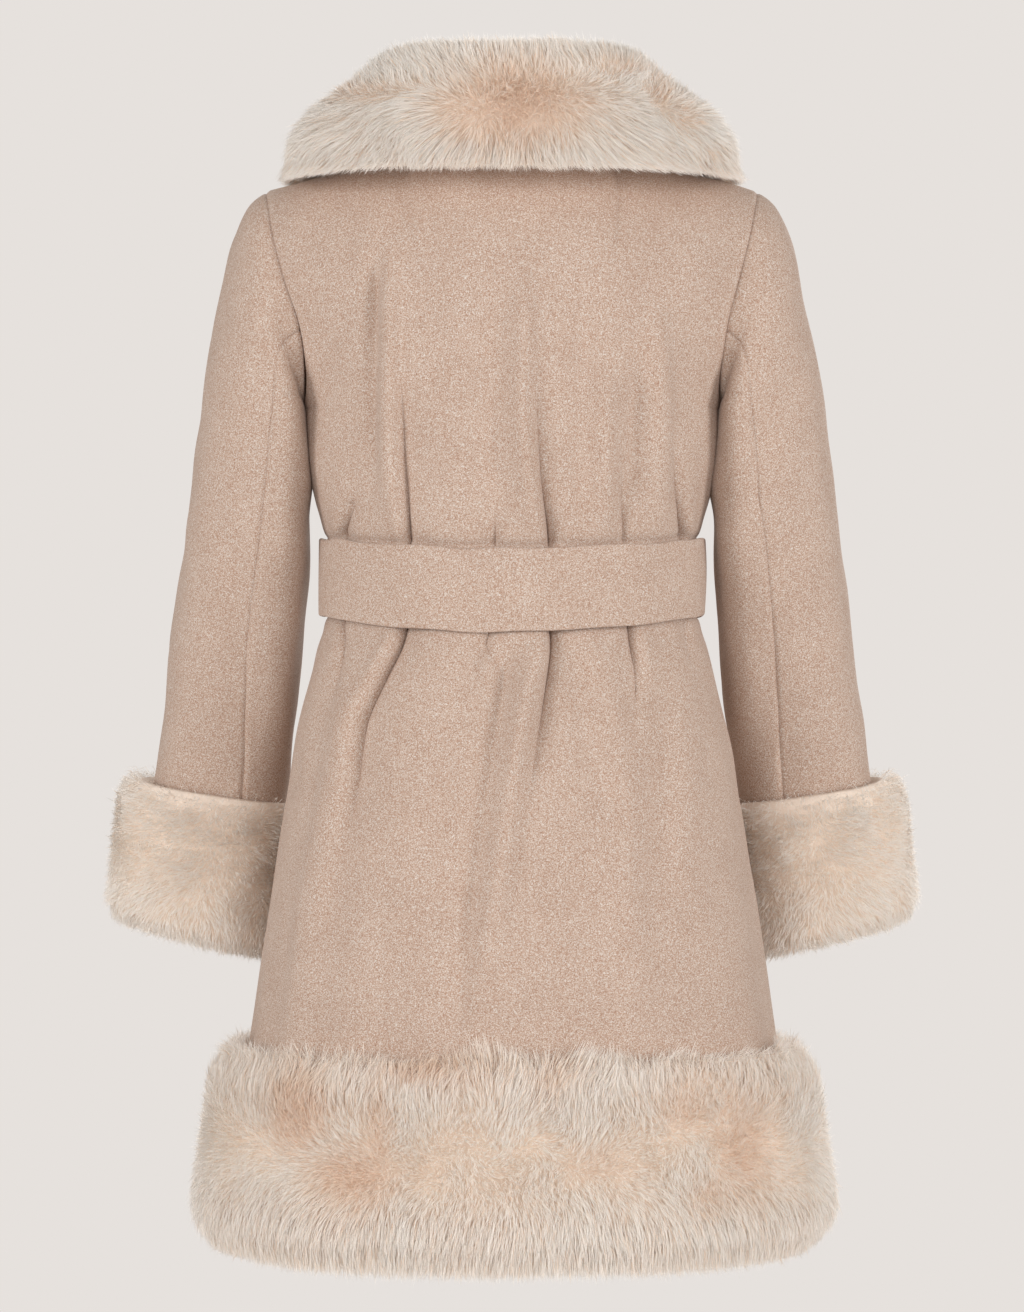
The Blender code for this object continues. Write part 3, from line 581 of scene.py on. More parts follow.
def wool_material():
    """Heathered melton: pale and rosy fibres felted together, with a short nap."""
    m, t, b = start_material("wool")
    at = t.nodes.new("ShaderNodeTexCoord").outputs["Object"]

    def noise(scale, detail, rough=0.6, distort=0.0):
        n = node(t, "ShaderNodeTexNoise", Scale=scale, Detail=detail, Roughness=rough, Distortion=distort)
        t.links.new(at, n.inputs["Vector"])
        return n.outputs[0]

    heather = ramp(
        t,
        (
            (0.34, (0.355, 0.208, 0.145)),
            (0.46, (0.478, 0.338, 0.264)),
            (0.54, (0.545, 0.428, 0.356)),
            (0.66, (0.690, 0.650, 0.615)),
        ),
    )
    t.links.new(noise(980.0, 2.5, 0.75, 0.3), heather.inputs["Fac"])
    fleck = ramp(t, ((0.36, (0.62, 0.56, 0.52)), (0.50, (1.0, 1.0, 1.0)), (0.66, (1.26, 1.34, 1.40))))
    t.links.new(noise(1900.0, 2.0, 0.6), fleck.inputs["Fac"])
    colour = mix_colour(t, "MULTIPLY", 0.75, heather.outputs[0], fleck.outputs[0])
    broad = ramp(t, ((0.35, (0.925, 0.900, 0.880)), (0.65, (0.990, 0.980, 0.968))))
    t.links.new(noise(24.0, 3.0), broad.inputs["Fac"])
    colour = mix_colour(t, "MULTIPLY", 0.8, colour, broad.outputs[0])
    t.links.new(colour, b.inputs["Base Color"])
    b.inputs["Roughness"].default_value = 0.95
    b.inputs["Specular IOR Level"].default_value = 0.15
    b.inputs["Sheen Weight"].default_value = 0.18
    b.inputs["Sheen Roughness"].default_value = 0.55
    b.inputs["Sheen Tint"].default_value = (1.0, 0.90, 0.82, 1.0)
    bump = node(t, "ShaderNodeBump", Strength=0.45, Distance=0.0006)
    t.links.new(noise(700.0, 3.0, 0.7), bump.inputs["Height"])
    t.links.new(bump.outputs[0], b.inputs["Normal"])
    return m


def pile_material():
    """Fur fibre: darker tan at the root as painted shade deep in the pile, cream along its length, with tan patches."""
    m, t, b = start_material("fur_pile")
    tone = t.nodes.new("ShaderNodeAttribute")
    tone.attribute_name = "tone"
    along = t.nodes.new("ShaderNodeAttribute")
    along.attribute_name = "along"
    # both ramps turn darker tan toward the root (along 0): painted shade deep in the pile
    pale = ramp(t, ((0.0, (0.966, 0.845, 0.725)), (0.32, (0.983, 0.926, 0.858)), (0.62, (0.988, 0.961, 0.924)), (1.0, (0.991, 0.977, 0.957))))
    tan = ramp(t, ((0.0, (0.820, 0.580, 0.435)), (0.50, (0.900, 0.725, 0.590)), (1.0, (0.955, 0.862, 0.762))))
    t.links.new(along.outputs["Fac"], pale.inputs["Fac"])
    t.links.new(along.outputs["Fac"], tan.inputs["Fac"])
    colour = mix_colour(t, "MIX", tone.outputs["Fac"], pale.outputs[0], tan.outputs[0])
    t.links.new(colour, b.inputs["Base Color"])
    b.inputs["Roughness"].default_value = 0.62
    b.inputs["Specular IOR Level"].default_value = 0.22
    through = t.nodes.new("ShaderNodeBsdfTranslucent")
    t.links.new(colour, through.inputs["Color"])
    both = t.nodes.new("ShaderNodeMixShader")
    both.inputs[0].default_value = 0.42
    t.links.new(b.outputs[0], both.inputs[1])
    t.links.new(through.outputs[0], both.inputs[2])
    t.links.new(both.outputs[0], t.nodes["Material Output"].inputs["Surface"])
    return m


def backing_material():
    """The fur's knitted ground with its short underfur."""
    m, t, b = start_material("fur_ground")
    at = t.nodes.new("ShaderNodeTexCoord").outputs["Object"]
    n = node(t, "ShaderNodeTexNoise", Scale=520.0, Detail=3.0, Roughness=0.7)
    t.links.new(at, n.inputs["Vector"])
    r = ramp(t, ((0.3, (0.86, 0.72, 0.605)), (0.7, (0.92, 0.81, 0.715))))
    t.links.new(n.outputs[0], r.inputs["Fac"])
    t.links.new(r.outputs[0], b.inputs["Base Color"])
    b.inputs["Roughness"].default_value = 0.95
    bump = node(t, "ShaderNodeBump", Strength=0.8, Distance=0.001)
    t.links.new(n.outputs[0], bump.inputs["Height"])
    t.links.new(bump.outputs[0], b.inputs["Normal"])
    return m


wool = wool_material()
pile = pile_material()
ground = backing_material()


# ------------------------------------------------------------------- cloth panels
def tracked_grid(rows, levels, tracks, lo, hi, per_gap, side=1.0):
    """A grid whose columns run along the tracks, close together beside each.

    Returns the points, each point's distance across from each track, and its
    distances from the two side edges.
    """
    tau = np.arange(per_gap) / per_gap
    ease = tau - 0.72 * np.sin(2 * math.pi * tau) / (2 * math.pi)
    lines = [pchip([z for z, _ in k], [x for _, x in k]) for k in tracks]
    fine = np.linspace(lo, hi, 400)
    grid = []
    for row, level in zip(rows, levels):
        x = row(fine)[:, 0] * side
        x = np.maximum.accumulate(x + np.arange(len(x)) * 1e-9)
        knots = [lo]
        for k, line in enumerate(lines):
            s = float(np.interp(line(level), x, fine))
            low = knots[-1] + 0.035 * (hi - lo)
            high = hi - 0.035 * (hi - lo) * (len(lines) - k)
            knots.append(min(max(s, low), high))
        knots.append(hi)
        s = np.concatenate(
            [a + (b - a) * ease for a, b in zip(knots[:-1], knots[1:])] + [[hi]]
        )
        grid.append(row(s))
    p = np.stack(grid)
    step = np.linalg.norm(np.diff(p, axis=1), axis=-1)
    arc = np.concatenate([np.zeros((len(p), 1)), np.cumsum(step, 1)], 1)
    apart = [arc - arc[:, (k + 1) * per_gap][:, None] for k in range(len(lines))]
    return p, apart, arc, arc[:, -1:] - arc


def crease_heights(creases, apart, level, p):
    """Height of the cloth from creases that start under the belt."""
    h = np.zeros(p.shape[:2])
    over = smooth(level, BELT_BOTTOM - 0.004, BELT_BOTTOM + 0.004) * (
        1 - smooth(level, BELT_TOP - 0.004, BELT_TOP + 0.004)
    )
    clear = np.minimum(
        1, smooth(level, BELT_TOP, BELT_TOP + 0.018) + 1 - smooth(level, BELT_BOTTOM - 0.018, BELT_BOTTOM)
    )
    for i, c in enumerate(creases):
        t = (level - c.belt) / (c.end - c.belt)
        here = smooth(t, -0.16, -0.02) if abs(c.end - c.belt) > 0.03 else smooth(t, -0.3, 0)
        fade = here * (1 - smooth(t, 0.0, 1.0)) ** 1.25
        fade = fade * (1 + 0.16 * waves(np.stack([level, level * 0 + i, level * 0], -1), 0.06, 40 + i))
        d = apart[c.track] * -c.side
        spread = c.width * (1 + 1.1 * np.clip(t, 0, 1))
        steep = 0.0026 + 0.010 * np.clip(t, 0, 1)
        floor = np.where(d >= 0, np.exp(-np.abs(d) / spread), np.exp(-((d / steep) ** 2)))
        roll = np.exp(-(((d + 2.1 * steep) / (1.25 * steep + 0.002)) ** 2))
        cleft = 0.70 * c.trough * np.exp(-((d / (0.0024 - 0.0006 * np.clip(t, 0, 1))) ** 2)) * here * (1 - smooth(t, 0.0, 0.75)) ** 1.5
        h = h - c.trough * fade * floor - cleft + c.roll * fade * roll * clear
    # small gathers close to the belt's edges
    near = np.exp(-np.clip(level - BELT_TOP, 0, 1) / 0.014) * (level >= BELT_TOP - 0.004) + np.exp(
        -np.clip(BELT_BOTTOM - level, 0, 1) / 0.017
    ) * (level <= BELT_BOTTOM + 0.004)
    pinch = np.exp(-(((level - BELT_TOP + 0.0005) / 0.0036) ** 2)) + np.exp(-(((level - BELT_BOTTOM - 0.0005) / 0.0036) ** 2))
    h = h - 0.0030 * pinch
    q = p * np.array([1.0, 1.0, 0.18])
    h = h + 0.00085 * near * np.minimum(waves(q, 0.020, 7), 0.35)
    return h * (1 - 0.65 * over)


def swell_heights(swells, p):
    h = np.zeros(p.shape[:2])
    x, z = p[..., 0], p[..., 2]
    for w in swells:
        t = (z - w.z0) / (w.z1 - w.z0)
        fade = smooth(t, 0.0, 0.22) * (1 - smooth(t, 0.60, 1.0))
        path = w.x0 + (w.x1 - w.x0) * t
        wide = w.half_width * (1 + 0.35 * np.clip(t, 0, 1))
        h = h + w.height * fade * np.exp(-(((x - path) / wide) ** 2))
    return h


def seam_press(d, depth=0.0028, width=0.0014):
    """Cloth dips into a seam."""
    return -depth * np.exp(-((d / width) ** 2))


LOWER = np.concatenate(
    [
        np.arange(PIT_Z, -0.280, -0.0050),
        np.arange(-0.280, -0.314, -0.0021),
        np.arange(-0.314, -0.369, -0.0055),
        np.arange(-0.369, -0.420, -0.0023),
        np.arange(-0.420, -0.520, -0.0050),
        np.arange(-0.520, -0.730, -0.0095),
        np.linspace(-0.730, HEM_Z, 9),
    ]
)
UPPER_PHI = np.linspace(0, math.pi, 50)[:-1]
AXIS = np.array([0.0, 0.0, 0.0])


def axis_at(p):
    return p * np.array([0.0, 0.0, 1.0])


def side_ease(p):
    """The sides stand out to meet the sleeves, down to just above the waist."""
    z = p[..., 2]
    beside = np.clip(np.abs(p[..., 0]) / 0.160, 0, 1) ** 8
    return 0.0046 * beside * smooth(-z, 0.176, 0.214) * (1 - smooth(-z, 0.244, 0.290))


def rough_level(p):
    """Fine unevenness of hanging cloth, none under the belt."""
    z = p[..., 2]
    off = smooth(z, BELT_TOP, BELT_TOP + 0.05) + 1 - smooth(z, BELT_BOTTOM - 0.05, BELT_BOTTOM)
    q = p * np.array([1.0, 1.0, 0.45])
    return np.clip(off, 0, 1) * (0.0007 * waves(q, 0.085, 3) + 0.00035 * waves(q, 0.038, 4))


def back_grid():
    rows, levels = [], []
    for phi in UPPER_PHI:
        rows.append(lambda s, phi=phi: back_upper(s, phi))
        levels.append(float(armhole_point(np.array(phi))[2]))
    for z in LOWER:
        span = math.pi / 2 - SEAM / 2 / float(half_width(z))
        rows.append(lambda s, z=z, span=span: body_point(s * span, z - hang(s * span, z)))
        levels.append(float(z))
    p, apart, left, right = tracked_grid(rows, levels, BACK_TRACKS, -1.0, 1.0, 17)
    level = np.array(levels)[:, None] + 0 * left
    n, _ = grid_normals(p, axis_at(p))
    down = np.concatenate(
        [np.zeros((1, p.shape[1])), np.cumsum(np.linalg.norm(np.diff(p, axis=0), axis=-1), 0)]
    )
    h = crease_heights(BACK_CREASES, apart, level, p) + 1.32 * swell_heights(BACK_SWELLS, p) * np.clip(
        smooth(level, BELT_TOP, BELT_TOP + 0.02) + 1 - smooth(level, BELT_BOTTOM - 0.02, BELT_BOTTOM), 0, 1
    )
    h = h + rough_level(p) + side_ease(p) + seam_press(left) + seam_press(right) + seam_press(down)
    return p + n * h[..., None]


def front_grid(sign):
    rows, levels = [], []
    for phi in UPPER_PHI:
        def row(s, phi=phi):
            p, b = front_upper(s, phi, sign)
            return lap_lift(p, b) if sign > 0 else p

        rows.append(row)
        levels.append(float(armhole_point(np.array(phi))[2]))
    for z in LOWER:
        def row(s, z=z):
            b0 = -lap_angle(z)
            b = b0 + (math.pi / 2 - SEAM / 2 / half_width(z) - b0) * s
            out = LAP * lap_ramp(half_width(z) * np.sin(b)) if sign > 0 else 0.0
            return body_point(sign * (math.pi - b), z, out)

        rows.append(row)
        levels.append(float(z))
    tracks = FRONT_TRACKS_RIGHT if sign > 0 else FRONT_TRACKS_LEFT
    p, apart, _, right = tracked_grid(rows, levels, tracks, 0.0, 1.0, 13, side=sign)
    level = np.array(levels)[:, None] + 0 * right
    n, _ = grid_normals(p, axis_at(p))
    down = np.concatenate(
        [np.zeros((1, p.shape[1])), np.cumsum(np.linalg.norm(np.diff(p, axis=0), axis=-1), 0)]
    )
    h = crease_heights(FRONT_CREASES, apart, level, p)
    h = h + rough_level(p) + side_ease(p) + seam_press(right) + seam_press(down)
    return p + n * h[..., None]


# Soft folds of the sleeves: angle and section at each end, half width, depth.
Bend = namedtuple("Bend", "phi0 t0 phi1 t1 half_width depth")
SLEEVE_BENDS = (
    Bend(205, 5.2, 285, 4.3, 0.0060, -0.0022),
    Bend(210, 6.0, 300, 5.3, 0.0070, -0.0026),
    Bend(215, 6.7, 290, 6.4, 0.0060, -0.0018),
    Bend(170, 1.2, 235, 2.3, 0.0080, -0.0022),
    Bend(150, 1.0, 118, 2.6, 0.0075, -0.0016),
    Bend(60, 5.4, 100, 6.2, 0.0120, -0.0012),
    Bend(20, 3.0, 30, 7.0, 0.0140, -0.0010),
)


# The back seam bows at the elbow: degrees inwards from its mean line, by section.
SEAM_BOW = pchip([0.0, 1.0, 2.5, 4.0, 5.5, 6.5, 7.5, 8.3, 10.0], [5.0, 9.0, 8.0, 5.0, 1.0, 0.5, 4.0, 7.5, 8.0])


def sleeve_grid(piece, cols, seed):
    tau = np.linspace(0, 1, cols + 1)
    ease = tau - 0.84 * np.sin(2 * math.pi * tau) / (2 * math.pi)
    gap = SEAM / 2 / 0.06
    t = SLEEVE_END * np.linspace(0, 1, 92) ** 1.3
    bow = BACK_SEAM + np.radians(SEAM_BOW(t))[:, None]
    if piece == "upper":
        phi = FRONT_SEAM - 2 * math.pi + gap + (bow - FRONT_SEAM + 2 * math.pi - 2 * gap) * ease
    else:
        phi = bow + gap + (FRONT_SEAM - bow - 2 * gap) * ease
    p = np.stack([sleeve_point(row, x) for row, x in zip(phi, t)])
    middle = np.stack([sleeve_rings_middle(x) for x in t])[:, None]
    n, _ = grid_normals(p, middle)
    step = np.linalg.norm(np.diff(p, axis=1), axis=-1)
    arc = np.concatenate([np.zeros((len(p), 1)), np.cumsum(step, 1)], 1)
    down = np.concatenate(
        [np.zeros((1, p.shape[1])), np.cumsum(np.linalg.norm(np.diff(p, axis=0), axis=-1), 0)]
    )
    h = seam_press(arc) + seam_press(arc[:, -1:] - arc) + seam_press(down, 0.0028, 0.0016)
    for f in SLEEVE_BENDS:
        deg = np.degrees(phi) % 360
        along = (deg - f.phi0) / (f.phi1 - f.phi0)
        at = f.t0 + (f.t1 - f.t0) * along
        off = (t[:, None] - at) * 0.055
        fade = smooth(along, -0.25, 0.25) * (1 - smooth(along, 0.75, 1.25))
        h = h + f.depth * fade * np.exp(-((off / f.half_width) ** 2))
    inner_side = np.clip(-np.cos(phi), 0, 1) ** 2
    h = h + 0.0044 * inner_side * (smooth(t, 0.4, 1.3) * (1 - smooth(t, 3.6, 4.6)))[:, None]
    # behind the arm the cloth lies flat as far as its inner edge
    flat = np.exp(-(((np.degrees(phi) - 147) / 31) ** 2))
    back = 0.0150 * flat * smooth(t, 0.4, 1.8)[:, None] * (1 - smooth(t, 7.4, 8.2))[:, None]
    calm = smooth(down, 0.01, 0.06)
    q = p * np.array([1.0, 1.0, 0.6])
    h = h + calm * (0.0008 * waves(q, 0.075, seed) + 0.0004 * waves(q, 0.034, seed + 1))
    return p + n * h[..., None] - np.array([0.0, 1.0, 0.0]) * back[..., None], middle


def sleeve_rings_middle(t):
    return sleeve_point(np.linspace(0, 2 * math.pi, 16, endpoint=False), t).mean(0)


def finish_piece(ob, slot, *nodes):
    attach(ob, "root")
    if nodes:
        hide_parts(*nodes)
    return ob


cut = {}  # flat width, length and area of each cloth panel


def note_cut(name, p):
    across = np.linalg.norm(np.diff(p, axis=1), axis=-1).sum(1)
    along = np.linalg.norm(np.diff(p, axis=0), axis=-1).sum(0)
    cut[name] = (float(across.max()), float(along.max()), area_of(p))


grid = back_grid()
note_cut("back", grid)
finish_piece(shell("back_cloth", grid, axis_at(grid), wool), "wool", "back")
for sign, side in ((1, "right"), (-1, "left")):
    grid = front_grid(sign)
    note_cut(f"front_{side}", grid)
    finish_piece(shell(f"front_{side}_cloth", grid, axis_at(grid), wool), "wool", f"front_{side}")
for piece, cols, seed in (("upper", 42, 20), ("under", 28, 24)):
    for side, sign in (("right", 1), ("left", -1)):
        grid, middle = sleeve_grid(piece, cols, seed + (sign < 0) * 50)
        if sign < 0:
            grid, middle = grid * MIRROR, middle * MIRROR
        name = f"sleeve_{side}_{piece}"
        note_cut(name, grid)
        finish_piece(shell(f"{name}_cloth", grid, middle, wool), "wool", name)


# --------------------------------------------------------------------------- belt
def belt_stand(a):
    x = 0.155 * np.sin(a)
    left = smooth(x, -0.085, -0.045)
    return CLOTH + BELT_GAP + np.where(np.cos(a) < 0, LAP * lap_ramp(x) * left, 0.0)


def round_band(n_side, n_corner, radius):
    """Closed profile of a flat band: (across -1..1 of its half height, out 0..1)."""
    pts = []
    for cx, cy, q0 in ((1, 0, -90), (1, 1, 0), (-1, 1, 90), (-1, 0, 180)):
        for q in np.radians(np.linspace(q0, q0 + 90, n_corner)):
            pts.append((cx, cy, math.cos(q) * radius, math.sin(q) * radius))
        if cy == 1 and cx == 1:
            for f in np.linspace(1, -1, n_side + 2)[1:-1]:
                pts.append((f, 1, 0.0, radius))
        if cy == 0 and cx == -1:
            for f in np.linspace(-1, 1, 5)[1:-1]:
                pts.append((f, 0, 0.0, -radius))
    return pts


def belt_grid():
    a = np.linspace(0, 2 * math.pi, 260, endpoint=False)
    ring = np.stack([0.16 * np.sin(a), -0.11 * np.cos(a), 0 * a], -1)
    top = BELT_TOP - 0.92 * sag(a) + 0.0006 * waves(ring, 0.05, 61)
    bottom = BELT_BOTTOM - 1.22 * sag(a) - 0.0006 * waves(ring, 0.06, 62)
    mid, half = (top + bottom) / 2, (top - bottom) / 2
    r = 0.0017
    rows = []
    for f, g, dz, dn in round_band(10, 4, r):
        z = mid + f * (half - r) + dz
        bulge = 0.0007 * (1 - f * f) * g + 0.0005 * g * waves(ring + np.array([0, 0, f * 0.02]), 0.07, 63)
        out = belt_stand(a) + r + g * (BELT_WALL - 2 * r) + dn + bulge
        rows.append(body_point(a, z, out))
    return np.stack(rows)


grid = belt_grid()
finish_piece(tube("belt_cloth", grid, wool), "wool", "belt")
note_cut("belt", np.concatenate([grid, grid[:, :1]], 1)[3:17])


def tail_grid(tail):
    rows = []
    for t in np.linspace(0, 1, 44):
        z = BELT_BOTTOM - 0.002 + (tail.bottom_z - BELT_BOTTOM) * t
        mid = tail.top_x + (tail.bottom_x - tail.top_x) * t + 0.002 * math.sin(5 * t + tail.top_x * 90)
        wide = tail.width * (0.62 + 0.38 * float(smooth(t, 0.0, 0.25)))
        f = np.linspace(-1, 1, 15)
        f = np.sign(f) * np.abs(f) ** 0.8
        x = mid + f * wide / 2
        b = np.arcsin(x / half_width(z))
        pleat = 0.0022 * (1 - float(smooth(t, 0.0, 0.5))) * np.cos(f * 7.0)
        curl = 0.0010 * np.sin(7 * t + f)
        out = CLOTH + LAP + 0.0032 + 0.004 * (1 - t) + pleat + curl * t
        rows.append(body_point(math.pi - b, np.full_like(b, z), out))
    return np.stack(rows)


for tail in TAILS:
    grid = tail_grid(tail)
    note_cut(f"belt_tail_{tail.side}", grid)
    ob = shell(f"belt_tail_{tail.side}_cloth", grid, axis_at(grid), wool, 0.0034, 0.0)
    finish_piece(ob, "wool", f"belt_tail_{tail.side}")


def knot_grid():
    """The tie's crossing: a band wrapped over itself, pulled in at its sides."""
    u = np.linspace(-1, 1, 46)[:, None]  # down the knot
    q = np.linspace(0, 2 * math.pi, 72, endpoint=False)[None]
    ring = np.sqrt(np.clip(1 - np.abs(u) ** 3.2, 0, 1)) * 0.97 + 0.0
    x, y = np.cos(q) * ring, np.sin(q) * ring
    g = (np.abs(x) ** 2.6 + np.abs(y) ** 2.6 + 1e-9) ** (1 / 2.6)
    x, y = x / g * ring, y / g * ring
    front = smooth(y, -0.1, 0.35)
    folds = (
        0.30 * np.exp(-(((x - 0.36 + 0.22 * u) / 0.12) ** 2))
        + 0.26 * np.exp(-(((x + 0.30 - 0.34 * u) / 0.10) ** 2))
        + 0.10 * np.exp(-(((x + 0.02 - 0.10 * u) / 0.07) ** 2))
    )
    lap = 0.10 * smooth(x, 0.30 - 0.22 * u, 0.48 - 0.22 * u)
    waist = (1 - 0.16 * np.exp(-(((u - 0.15) / 0.55) ** 2))) * (1 - 0.08 * smooth(u, 0.3, 1.0))
    depth = waist
    px = x * depth * KNOT_SIZE[0] / 2
    py = np.maximum(y * (1 - (folds + lap) * front), -0.72) * KNOT_SIZE[1] / 2
    pz = -u * KNOT_SIZE[2] / 2 + 0 * q
    return np.stack(np.broadcast_arrays(px, py, pz), -1)


knot_y = float(body_point(math.pi, (BELT_TOP + BELT_BOTTOM) / 2)[1])
knot_y += CLOTH + LAP + BELT_GAP + BELT_WALL + 0.0006
grid = knot_grid() + np.array([0.0, knot_y + 0.36 * KNOT_SIZE[1], (BELT_TOP + BELT_BOTTOM) / 2])
finish_piece(tube("belt_knot_cloth", grid, wool, caps=True), "wool", "belt_knot")


# ---------------------------------------------------------------------------- fur
def band_profile(p, full=1.0):
    """Section of a fur band: p 0 at its top, 1 at its bottom -> (along, reach).

    A full below 1 gives the bottom a squarer corner.
    """
    p = np.asarray(p, float)
    turn = 0.20
    q = np.where(p < 0.2, p / 0.2, np.where(p > 0.8, (1 - p) / 0.2, 1.0)) * math.pi / 2
    along = np.where(
        p < 0.2,
        turn * (1 - np.cos(q)),
        np.where(p > 0.8, 1 - turn * (1 - np.cos(q)), turn + (p - 0.2) / 0.6 * (1 - 2 * turn)),
    )
    return along, np.sin(q) ** np.where(p > 0.5, full, 1.0)


def bilerp(g, u, v, closed_v=False):
    nu, nv = g.shape[:2]
    u = np.clip(u, 0, nu - 1 - 1e-6)
    i = u.astype(int)
    fu = (u - i)[:, None]
    if closed_v:
        v = v % nv
        j = v.astype(int) % nv
        j1 = (j + 1) % nv
    else:
        v = np.clip(v, 0, nv - 1 - 1e-6)
        j = v.astype(int)
        j1 = j + 1
    fv = (v - np.floor(v))[:, None]
    return (
        g[i, j] * (1 - fu) * (1 - fv)
        + g[i + 1, j] * fu * (1 - fv)
        + g[i, j1] * (1 - fu) * fv
        + g[i + 1, j1] * fu * fv
    )


def jittered_cells(a, b, size, seed):
    """Nearest of a loose scatter of points, one for each cell of that size."""
    i0, j0 = np.floor(a / size).astype(int), np.floor(b / size).astype(int)
    best = np.full(len(a), 1e9)
    pick = np.zeros((len(a), 2))
    key = np.zeros(len(a), np.int64)
    for di in (-1, 0, 1):
        for dj in (-1, 0, 1):
            i, j = i0 + di, j0 + dj
            h = (i * 73856093) ^ (j * 19349663) ^ (seed * 83492791)
            h = (h ^ (h >> 13)) * 1274126177 & 0x7FFFFFFF
            ja, jb = (h % 1009) / 1009.0, ((h // 1009) % 1013) / 1013.0
            ca, cb = (i + ja) * size, (j + jb) * size
            d = (ca - a) ** 2 + (cb - b) ** 2
            near = d < best
            best = np.where(near, d, best)
            pick[near, 0], pick[near, 1] = ca[near], cb[near]
            key = np.where(near, h, key)
    return pick[:, 0], pick[:, 1], key


def fur(name, skin, reach, normal, comb, count, seed, weight, closed_v=False,
        u_limits=(0.0, 1.0, 1.0), overflow=None, length=0.0155, clump=0.0025, width=0.00060):
    """Pile on a skin: tapered fibres whose tips lie on the reach surface.

    comb(position, u, v) gives each fibre's lean down the section and along the
    trim, and how tan it is: tan patches, and in some trims painted shade. Fibres
    that would pass the ends of the section run on in the overflow directions instead.
    """
    rng = np.random.default_rng(seed)
    nu, nv = reach.shape[:2]
    right = np.roll(reach, -1, 1) if closed_v else reach[:, 1:]
    left = reach if closed_v else reach[:, :-1]
    d1, d2 = right[1:] - left[:-1], left[1:] - right[:-1]
    area = np.linalg.norm(np.cross(d1, d2), axis=-1) / 2
    share = area * weight((np.arange(nu - 1) + 0.5) / (nu - 1))[:, None]
    cells = rng.choice(share.size, size=count, p=(share / share.sum()).ravel())
    iu, iv = np.divmod(cells, share.shape[1])
    u, v = iu + rng.random(count), iv + rng.random(count)

    def slope(axis):
        if axis == 1 and closed_v:
            return (np.roll(reach, -1, 1) - np.roll(reach, 1, 1)) / 2
        return np.gradient(reach, axis=axis)

    du, dv = slope(0), slope(1)
    at = lambda g, x=u, y=v: bilerp(g, x, y, closed_v)
    lu = np.maximum(np.linalg.norm(at(du), axis=-1), 1e-5)
    lv = np.maximum(np.linalg.norm(at(dv), axis=-1), 1e-5)
    mean_u = np.linalg.norm(du, axis=-1).mean()
    mean_v = np.linalg.norm(dv, axis=-1).mean()

    # fibres gather in small locks
    ca, cb, key = jittered_cells(u * mean_u, v * mean_v, clump, seed)
    cu, cv = ca / mean_u, cb / mean_v
    lock = ((key >> 5) % 997) / 997.0
    lock2 = ((key >> 9) % 991) / 991.0
    pull = 0.08 + 0.30 * lock
    root = at(skin)
    where = at(reach)
    lean_u, lean_v, tan = comb(where, u / (nu - 1), v / (nv if closed_v else nv - 1))
    loose = 1 + 1.5 * np.clip(tan - 0.15, 0, 0.8)
    lean_u = lean_u + loose * (0.18 * (lock - 0.5) + 0.10 * rng.normal(size=count))
    lean_v = lean_v + loose * (0.28 * (lock2 - 0.5) + 0.12 * rng.normal(size=count))
    long = length * (0.72 + 0.30 * lock2 + 0.28 * rng.random(count))
    tu = u + (cu - u) * pull + lean_u * long / lu
    tv = v + (cv - v) * pull + lean_v * long / lv
    lo, hi, last = [x * (nu - 1) for x in u_limits]
    lo = lo * (0.12 + 0.88 * rng.random(count))
    over_hi = np.clip(tu - hi, 0, None) * lu
    over_lo = np.clip(lo - tu, 0, None) * lu
    tu = np.clip(tu, lo, last * (1 - 0.020 * lock))
    if not closed_v:
        past = (np.clip(tv, 0, nv - 1) - tv) * lv
        tv = np.clip(tv, 0, nv - 1)
    deep = np.clip(rng.normal(0.04, 0.16, count), -0.2, 0.45)
    deep = deep - 0.38 * (rng.random(count) < 0.22) * rng.random(count)
    tip = at(reach, tu, tv) * (1 - deep[:, None]) + at(skin, tu, tv) * deep[:, None]
    if overflow:
        lo_dir, hi_dir = overflow
        ragged = 0.70 + 0.55 * lock2
        tip = tip + hi_dir(where) * (np.minimum(0.75 * over_hi, 0.009) * ragged)[:, None]
        tip = tip + lo_dir(where) * (np.minimum(0.90 * over_lo, 0.011) * ragged)[:, None]
    if not closed_v:
        end_dir = unit(at(dv))
        tip = tip - end_dir * (np.clip(past, -0.010, 0.010))[:, None]
    n = unit(at(normal))
    tip = tip + rng.normal(0, 0.0009, (count, 3))
    stray = np.abs(rng.normal(0, 0.0022, count)) * (rng.random(count) < 0.5)
    tip = tip + unit(at(normal, tu, tv)) * stray[:, None]
    rise = np.linalg.norm(at(reach) - root, axis=-1)[:, None]
    bend = root + n * rise * 0.85 + (tip - root) * 0.22
    mid = 0.25 * root + 0.5 * bend + 0.25 * tip

    run = unit(tip - root)
    across = unit(np.cross(run, n + 0.22 * rng.normal(size=(count, 3))))
    roll = rng.normal(0, 0.62, count)[:, None]
    across = across * np.cos(roll) + np.cross(run, across) * np.sin(roll)
    facing = np.sum(np.cross(across, run) * n, -1, keepdims=True)
    across = np.where(facing < 0, -across, across)
    w = (width * (0.7 + 0.6 * rng.random(count)))[:, None]
    verts = np.stack([root, mid - across * w * 0.5, mid + across * w * 0.5, tip], 1).reshape(-1, 3)
    base = (np.arange(count) * 4)[:, None]
    tris = np.concatenate([base + np.array([0, 2, 1]), base + np.array([1, 2, 3])], 1).reshape(-1, 3)
    me = new_mesh(name, verts, tris=tris)
